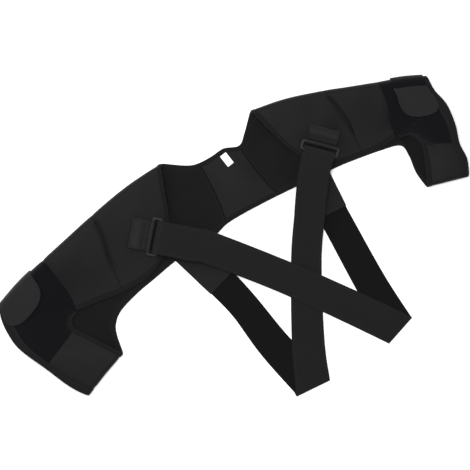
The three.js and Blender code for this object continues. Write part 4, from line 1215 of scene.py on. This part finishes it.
class CuffOperator(bpy.types.Operator):
    """Build the loop patches, lower cuff panels, armhole bindings and cuff hems"""

    bl_idname = "brace.cuffs"
    bl_label = "Cuffs"

    def execute(self, context):
        s = sizes()
        for sign, name in SIDE_NAMES.items():
            side = Side(sign)
            rows = CuffRows(side)
            grid = relaxed(np.array([rows.patch(f) for f in np.linspace(0, 1, PATCH_ROWS)]), PATCH_EVENING)
            body = shell(grid, s.wall, dip=PATCH_DIP)
            mesh_piece(f"loop_panel_{name}", body, [loop_pile()])
            places = np.linspace(side.panel_start, side.cuff_end, LOWER_ROWS)
            body = swept(rows.lower, places, s.wall, dip=CUFF_DIP)
            mesh_piece(f"cuff_panel_{name}", body, [neoprene()])
            body = swept(rows.armhole, np.linspace(0, 1, BINDING_LINES), side.bound, rim=BOUND_RIM)
            mesh_piece(f"armhole_binding_{name}", body, [binding()])
            body = swept(rows.hem, np.linspace(side.hem_start, CUFF_END, BAND_ROWS), s.wall, ring=True)
            mesh_piece(f"cuff_hem_{name}", body, [cuff_band()])
        return {"FINISHED"}


def closing_tab(side, places, start, end, round_end):
    """A tab that lies on the cuff and goes round the shoulder fold, as rows of middle points"""
    s = side.s
    seat = s.wall / 2 + s.tab_seat + s.tab_thickness / 2
    rows = []
    for x in ease(np.linspace(0, 1, TAB_ROWS)):
        at = mix(*places, x)
        section = side.cuff_section(at)
        inset = section.height / 2 * section.stretch
        roundness = math.sqrt(1 - abs(2 * x - 1) ** TAB_SQUARENESS)
        reach = mix(start, end, mix(TAB_SIDE_SHARE, 1, roundness)) if round_end else end
        first = max(start, inset)
        distance = np.linspace(first, max(reach, first + s.tab_thickness), TAB_POINTS)
        row = side.cuff_points(section, at, distance)
        if start <= inset:
            row = np.concatenate([side.fold(section)[TAB_FOLD_START:-1], row])
        rows.append(row)
    grid = np.array(rows)
    normals = unit(np.cross(np.gradient(grid, axis=0), np.gradient(grid, axis=1)))
    return grid + normals * -side.sign * seat


class TabOperator(bpy.types.Operator):
    """Build the closing tabs of both cuffs and the darker band above the right one"""

    bl_idname = "brace.tabs"
    bl_label = "Closing tabs"

    def execute(self, context):
        s = sizes()
        band_end = s.tab_band + s.joint_gap
        tabs = (
            ("hook_tab_left", -1, 0, s.tab_length, True),
            ("tab_band_right", 1, 0, s.tab_band, False),
            ("hook_tab_right", 1, band_end, band_end + s.tab_length, True),
        )
        for name, sign, start, end, round_end in tabs:
            places = TAB_PLACES[sign] if round_end else BAND_PLACES
            cloth, slot = (hook_cloth(), "hook_fabric") if round_end else (loop_pile(), "loop_fabric")
            body = shell(closing_tab(Side(sign), places, start, end, round_end), s.tab_thickness)
            mesh_piece(name, body, [cloth])
        return {"FINISHED"}


def seat_on(pile, centre, along_x, half_x, from_y, to_y, height):
    """A level place on the pile for a stiff rectangle, as a matrix with X along the first side and Z up"""
    x = unit(np.array(along_x, float))
    y = np.array([-x[1], x[0]])
    steps_x, steps_y = np.linspace(-half_x, half_x, SAMPLES), np.linspace(from_y, to_y, SAMPLES)
    spots = np.array([(a, b) for a in steps_x for b in steps_y])
    heights = np.array([pile.near(*(centre + x * a + y * b), SEAT_RADIUS) for a, b in spots])
    from_middle = spots - spots.mean(axis=0)
    slopes = (from_middle * (heights - heights.mean())[:, None]).sum(axis=0) / (from_middle**2).sum(axis=0)
    clear = (heights - spots @ slopes).max()
    axis_x = unit(np.array([x[0], x[1], slopes[0]]))
    axis_z = unit(np.cross(axis_x, (y[0], y[1], slopes[1])))
    matrix = np.eye(4)
    matrix[:3, :3] = np.stack([axis_x, np.cross(axis_z, axis_x), axis_z], axis=1)
    matrix[:3, 3] = (*centre, clear + height / axis_z[2])
    return matrix


class LabelOperator(bpy.types.Operator):
    """Build the blank label below the neckline"""

    bl_idname = "brace.label"
    bl_label = "Label"

    def execute(self, context):
        s = sizes()
        centre = np.array([LABEL_PLACE[0] * s.reach, LABEL_PLACE[1] * s.depth])
        height = s.clearance + s.label_thickness / 2
        half_x, half_y = s.label_width / 2, s.label_length / 2
        seat = seat_on(Pile(), centre, LABEL_ALONG, half_x, -half_y, half_y, height)
        columns, rows = LABEL_GRID
        x, y = np.meshgrid(np.linspace(-half_x, half_x, columns), np.linspace(-half_y, half_y, rows))
        body = shell(np.stack([x, y, 0 * x], axis=-1), s.label_thickness)
        mesh_piece("label", body, [plain("Label", "label", 0.6)], matrix=seat)
        return {"FINISHED"}


def rungs(rows, count, width, fold=None, fold_at_start=False):
    """Rungs of a band along its route: middles, and its left and right ends on the plan"""
    s = sizes()
    last = len(rows) - 1

    def centre(at):
        return row_at(rows, min(max(at, 0), last))[:2] * (s.reach, s.strap_drop)

    fold_row = centre(0 if fold_at_start else last)
    middles, lefts, rights = [], [], []
    for at in np.linspace(0, last, count + 1):
        middle = centre(at)
        along = unit(centre(at + SLOPE_STEP) - centre(at - SLOPE_STEP))
        across = np.array([along[1], -along[0]])
        half = width * row_at(rows, at)[2] / 2
        skew = 0
        if fold is not None:
            line = np.array([math.cos(fold), math.sin(fold)])
            reach = 1 - ease(np.linalg.norm(middle - fold_row) / width)
            skew = reach * (line @ along) / (line @ across)
        offset = across * half + along * half * skew
        middles.append(middle)
        lefts.append(middle - offset)
        rights.append(middle + offset)
    return SimpleNamespace(middle=np.array(middles), left=np.array(lefts), right=np.array(rights))


def part_of(band, keep):
    return SimpleNamespace(**{key: value[keep] for key, value in vars(band).items()})


def settle(pile, band, thickness, start_heights):
    """Heights of a band's two edges: over the pile, with no slope steeper than the band hangs"""
    over = sizes().clearance + thickness / 2
    shares = np.linspace(0, 1, SAMPLES)
    ends = zip(band.left, band.right)
    samples = np.array([[pile.near(*mix(a, b, f), SETTLE_RADIUS) for f in shares] for a, b in ends])
    middle = SAMPLES // 2
    left = samples[:, :middle].max(axis=1) + over
    right = samples[:, middle + 1 :].max(axis=1) + over
    lack = np.maximum(0, samples[:, middle] + over - (left + right) / 2)
    left, right = left + lack, right + lack
    on_table = samples.max(axis=1) == 0
    left[0], right[0] = max(left[0], start_heights[0]), max(right[0], start_heights[1])
    gaps = np.linalg.norm(band.middle[:, None] - band.middle[None], axis=-1)

    def sagged(heights):
        floor = np.where(on_table, thickness / 2, heights)
        reached = np.where(on_table[None], 0, heights[None] - STEEPEST * gaps)
        lowest = np.maximum(floor, reached.max(axis=1))
        smooth = lowest.copy()
        for _ in range(STRAP_EVENING):
            smooth[1:-1] = (smooth[:-2] + 2 * smooth[1:-1] + smooth[2:]) / 4
        return np.maximum(np.maximum(smooth, lowest - STRAP_SINK), thickness / 2)

    return SimpleNamespace(**vars(band), left_z=sagged(left), right_z=sagged(right))


def band_points(band):
    f = np.linspace(0, 1, STRAP_COLUMNS)[None, :, None]
    xy = mix(band.left[:, None], band.right[:, None], f)
    z = mix(band.left_z[:, None], band.right_z[:, None], f[..., 0])
    return np.concatenate([xy, z[..., None]], axis=-1)


def under_run(route):
    s = sizes()
    band = rungs(route.under, UNDER_RUNGS, s.strap_width, math.radians(route.fold), True)
    z = np.full(len(band.left), s.strap_thickness / 2)
    return SimpleNamespace(**vars(band), left_z=z, right_z=z)


class AnchorOperator(bpy.types.Operator):
    """Build the two webbing anchors that join the straps to the hem"""

    bl_idname = "brace.anchors"
    bl_label = "Strap anchors"

    def execute(self, context):
        s = sizes()
        for route in ROUTES.values():
            band = rungs(route.anchor, ANCHOR_RUNGS, s.strap_width + s.anchor_extra)
            ramp_start, ramp = ANCHOR_RAMP
            on_strap = 1 - ease((np.linspace(0, 1, len(band.left)) - ramp_start) / ramp)
            z = mix(0, s.strap_thickness + s.clearance, on_strap) + s.anchor_thickness / 2
            band = SimpleNamespace(**vars(band), left_z=z, right_z=z)
            body = shell(band_points(band), s.anchor_thickness, band=True)
            cover, under = [anchor_webbing()], [route.strap]
            mesh_piece(route.anchor_name, body, cover)
        return {"FINISHED"}


BAR_ROUNDING = 0.7  # what a bar's rounded corners give way to a band that goes round it, mm
BAR_SQUARENESS = 0.62  # how round a bar's section is; 1 would be an ellipse
BAR_SIDES = 20
BUCKLE_CORNER = 1.2  # radius of the buckle's corners along the bars' middles, mm
CORNER_POINTS = 6
BUCKLE_STEP = 3  # longest span along a bar, mm
BULGE_START, BULGE_RUN = 0.24, 0.7  # where the sewn webbing bulges, as shares of its upper layer
FALL_START, FALL_RUN = 0.04, 0.2  # where it comes down from the bar, as shares too
WEBBING_SPANS = (15, 29, 16)  # spans of its lower layer, of its upper layer and across it


def turn_radius():
    s = sizes()
    return math.hypot(s.buckle_bar / 2, s.buckle_thickness / 2 - BAR_ROUNDING) + s.clearance + s.turn_slack


def buckle_shape():
    """A flat loop of four rounded bars; the bar that holds the strap lies on the X axis"""
    s = sizes()
    half = s.strap_width / 2 + s.buckle_bar / 2 + s.clearance * 2
    corner = BUCKLE_CORNER
    path = []
    corners = ((half, s.buckle_span, 0), (-half, s.buckle_span, 90), (-half, 0, 180), (half, 0, 270))
    for x, y, start in corners:
        inner = np.array([x - math.copysign(corner, x), y - corner if y else y + corner])
        for angle in np.radians(np.linspace(start, start + 90, CORNER_POINTS)):
            path.append((inner + corner * np.array([math.cos(angle), math.sin(angle)]), angle))
    fine = []
    for k, (place, angle) in enumerate(path):
        follower = path[(k + 1) % len(path)][0]
        steps = max(1, round(np.linalg.norm(follower - place) / BUCKLE_STEP))
        fine += [(mix(place, follower, j / steps), angle) for j in range(steps)]
    round_bar = np.linspace(0, 2 * np.pi, BAR_SIDES + 1)[:-1]
    wide, tall = (
        np.sign(wave) * np.abs(wave) ** BAR_SQUARENESS * size / 2
        for wave, size in ((np.cos(round_bar), s.buckle_bar), (np.sin(round_bar), s.buckle_thickness))
    )
    points = []
    for place, angle in fine:
        xy = place + wide[:, None] * np.array([math.cos(angle), math.sin(angle)])
        points.append(np.concatenate([xy, tall[:, None]], axis=1))
    n, m = len(points), BAR_SIDES
    ids = np.arange(n * m).reshape(n, m)
    faces = [face for i in range(n) for face in strip_faces(ids[i], ids[(i + 1) % n], True)]
    uv = np.stack([np.repeat(np.arange(n), m), np.tile(np.arange(m), n)], axis=1) / 1000
    return SimpleNamespace(points=np.concatenate(points), faces=faces, inner=(0, 0), weave=uv, edge=uv)


def webbing_grid(trim):
    """The webbing tab from the side, folded in two round the buckle's near bar, and swept across"""
    s = sizes()
    radius = turn_radius() + s.webbing_thickness / 2
    end = s.buckle_span + s.buckle_bar / 2 + s.webbing_length - trim
    flat = s.webbing_thickness + s.clearance - radius
    lower_spans, upper_spans, across_spans = WEBBING_SPANS
    lower = [(mix(end, s.buckle_span, k / lower_spans), -radius) for k in range(lower_spans)]
    angles = np.linspace(-np.pi / 2, -3 * np.pi / 2, TURN_STEPS + 1)
    turn = [(s.buckle_span + radius * math.cos(a), radius * math.sin(a)) for a in angles]
    upper = []
    for f in np.linspace(0, 1, upper_spans + 1)[1:]:
        bulge = math.sin(math.pi * min(1, max(0, (f - BULGE_START) / BULGE_RUN))) ** 2
        height = mix(radius, flat, ease((f - FALL_START) / FALL_RUN)) + s.webbing_bulge * bulge
        upper.append((mix(s.buckle_span, end, f), height))
    path = np.array(lower + turn + upper)
    grid = np.zeros((len(path), across_spans + 1, 3))
    grid[..., 0] = np.linspace(-s.webbing_width / 2, s.webbing_width / 2, across_spans + 1)
    grid[..., 1:] = path[:, None]
    return grid


class StrapOperator(bpy.types.Operator):
    """Build both straps with their buckles and webbing tabs; the strap on top is laid last"""

    bl_idname = "brace.straps"
    bl_label = "Straps and buckles"

    def execute(self, context):
        s = sizes()
        covers = [velvet(), elastic()]
        satin = satin_webbing()
        plastic = plain("Plastic", "plastic", 0.6, specular=0.2)
        for route in ROUTES.values():
            under = shell(band_points(under_run(route)), s.strap_thickness)
            place_holder(under, route.side)
        for name in ("strap_b", "strap_a"):
            route = ROUTES[name]
            far = np.array(route.top[0][:2]) * (s.reach, s.strap_drop)
            band = rungs(route.top, TOP_RUNGS, s.strap_width, math.radians(route.fold))
            bar = band.left[0] - band.right[0]
            tab_end = s.buckle_span + s.buckle_bar / 2 + s.webbing_length
            height = s.clearance + s.strap_thickness + turn_radius()
            seat = seat_on(Pile(), far, bar, s.strap_width / 2, 0, tab_end, height)
            mesh_piece(f"buckle_{route.side}", buckle_shape(), [plastic], matrix=seat)
            body = shell(webbing_grid(route.trim), s.webbing_thickness)
            title = f"webbing_tab_{route.side}"
            mesh_piece(title, body, [satin], seat)
            self.strap(name, route, band, far, seat, covers)
        for obj in [obj for obj in bpy.data.objects if obj.name.startswith("under_run")]:
            bpy.data.objects.remove(obj)
        return {"FINISHED"}

    def strap(self, name, route, band, far, seat, covers):
        """One band from its free tail round the bar, over the brace, round its fold and back under"""
        s = sizes()
        thickness = s.strap_thickness
        turn = self.turn_rows(route, seat)
        near = np.linalg.norm(band.middle - far, axis=1) < s.strap_tail
        tail = settle(Pile(), part_of(band, near), thickness, turn[0][[0, -1], 2])
        tail_rows = band_points(part_of(tail, slice(1, None)))
        place_holder(shell(tail_rows, thickness), name)
        top = settle(Pile(), band, thickness, turn[-1][[0, -1], 2])
        top_rows = band_points(part_of(top, slice(1, None)))
        lower_rows = band_points(under_run(route))[:, ::-1]
        lower_rows[0] = top_rows[-1]
        lower_rows[0, :, 2] = thickness / 2
        fold = self.fold_rows(top_rows[-1])
        rows = np.concatenate([tail_rows[::-1], turn, top_rows, fold, lower_rows])
        body = shell(rows, thickness, band=True)
        obj = mesh_piece(name, body, covers, inner_material=True)

    def turn_rows(self, route, seat):
        """Rows of the strap round the buckle's bar, moved to where the buckle lies"""
        s = sizes()
        radius = turn_radius() + s.strap_thickness / 2
        x = np.linspace(s.strap_width, -s.strap_width, STRAP_COLUMNS) * route.top[0][2] / 2
        rows = []
        for angle in np.linspace(-np.pi / 2, np.pi / 2, TURN_STEPS + 1):
            points = np.zeros((STRAP_COLUMNS, 3))
            points[:, 0] = x
            points[:, 1:] = radius * math.cos(angle), radius * math.sin(angle)
            rows.append(points @ seat[:3, :3].T + seat[:3, 3])
        return np.array(rows)

    def fold_rows(self, last):
        """Rows round the oblique fold, from the strap's last upper row down to the table"""
        low = sizes().strap_thickness / 2
        edge = unit(last[-1, :2] - last[0, :2])
        outward = np.array([-edge[1], edge[0]])
        outward = -outward if outward[1] > 0 else outward
        radius = (last[:, 2] - low) / 2
        rows = []
        for angle in np.linspace(np.pi / 2, -np.pi / 2, STRAP_FOLD_STEPS + 1)[1:-1]:
            row = last.copy()
            row[:, :2] += outward * (radius * math.cos(angle))[:, None]
            row[:, 2] = low + radius * (1 + math.sin(angle))
            rows.append(row)
        return np.array(rows)


def place_holder(body, title):
    """A run of a strap that the pieces laid after it clear; it is taken away at the end"""
    name = f"under_run_{title}"
    pieces_collection().objects.link(bpy.data.objects.new(name, new_mesh(name, body)))


VIEW_TURN = math.radians(-26)  # the photograph is turned against the shoulder line
VIEW_WIDTH = 0.7144  # what the photograph shows across, metres
LENS, SENSOR = 85, 36  # millimetres
FLOOR_REACH = 4  # metres from the middle to a side
ROOM_LIGHT = 0.55
# Lamps: right, up and height in the photograph in metres, size in metres and power in watts
LAMPS = {
    "key light": (-0.15, 0.25, 1.9, 0.7, 34),
    "side light": (-1.4, 0.9, 1.2, 1.2, 12),
}


def add_lamp(scene, title, right, up, height, size, power):
    """A square lamp above the brace that points at its middle"""
    light = bpy.data.lights.new(title, "AREA")
    light.size = size
    light.energy = power
    lamp = bpy.data.objects.new(title, light)
    x = right * math.cos(VIEW_TURN) - up * math.sin(VIEW_TURN)
    y = right * math.sin(VIEW_TURN) + up * math.cos(VIEW_TURN)
    lamp.location = (x, y, height)
    tilt = math.acos(height / math.hypot(x, y, height))
    lamp.rotation_euler = (tilt, 0, math.atan2(y, x) + math.pi / 2)
    scene.collection.objects.link(lamp)


class StageOperator(bpy.types.Operator):
    """Set up the white surface, the lights and the camera that looks straight down"""

    bl_idname = "brace.stage"
    bl_label = "Stage"

    def execute(self, context):
        scene = context.scene
        mesh = bpy.data.meshes.new("floor")
        corners = [(x * FLOOR_REACH, y * FLOOR_REACH, 0) for x, y in ((-1, -1), (1, -1), (1, 1), (-1, 1))]
        mesh.from_pydata(corners, [], [(0, 1, 2, 3)])
        floor = bpy.data.objects.new("floor", mesh)
        scene.collection.objects.link(floor)
        mesh.materials.append(plain("Floor", "floor", 0.9, specular=0.1))
        camera = bpy.data.objects.new("camera", bpy.data.cameras.new("camera"))
        camera.data.lens = LENS
        camera.data.sensor_width = SENSOR
        camera.location = (*plan_shift()[:2], VIEW_WIDTH * LENS / SENSOR)
        camera.rotation_euler = (0, 0, VIEW_TURN)
        scene.collection.objects.link(camera)
        scene.camera = camera
        for title, values in LAMPS.items():
            add_lamp(scene, title, *values)
        world = bpy.data.worlds.new("Soft white room")
        world.use_nodes = True
        background = world.node_tree.nodes["Background"]
        background.inputs["Color"].default_value = (1, 1, 1, 1)
        background.inputs["Strength"].default_value = ROOM_LIGHT
        scene.world = world
        scene.view_settings.view_transform = "Standard"
        return {"FINISHED"}


class BracePanel(bpy.types.Panel):
    """Builds the brace piece by piece"""

    bl_idname = "VIEW3D_PT_brace"
    bl_label = "Shoulder Brace"
    bl_space_type = "VIEW_3D"
    bl_region_type = "UI"
    bl_category = "Brace"

    def draw(self, context):
        for operator in OPERATORS:
            self.layout.operator(operator.bl_idname)
        for group in (context.scene.brace_sizes, context.scene.brace_colours):
            column = self.layout.column()
            for name in type(group).__annotations__:
                column.prop(group, name)


OPERATORS = (
    BackOperator,
    FrontOperator,
    CuffOperator,
    TabOperator,
    LabelOperator,
    AnchorOperator,
    StrapOperator,
    StageOperator,
)
CLASSES = (BraceSizes, BraceColours, *OPERATORS, BracePanel)


def register():
    for item in CLASSES:
        bpy.utils.register_class(item)
    bpy.types.Scene.brace_sizes = PointerProperty(type=BraceSizes)
    bpy.types.Scene.brace_colours = PointerProperty(type=BraceColours)


def unregister():
    del bpy.types.Scene.brace_colours
    del bpy.types.Scene.brace_sizes
    for item in reversed(CLASSES):
        bpy.utils.unregister_class(item)


def main():
    register()
    bpy.ops.brace.back()
    bpy.ops.brace.fronts()
    bpy.ops.brace.cuffs()
    bpy.ops.brace.tabs()
    bpy.ops.brace.label()
    bpy.ops.brace.anchors()
    bpy.ops.brace.straps()
    bpy.ops.brace.stage()


if __name__ == "__main__":
    main()
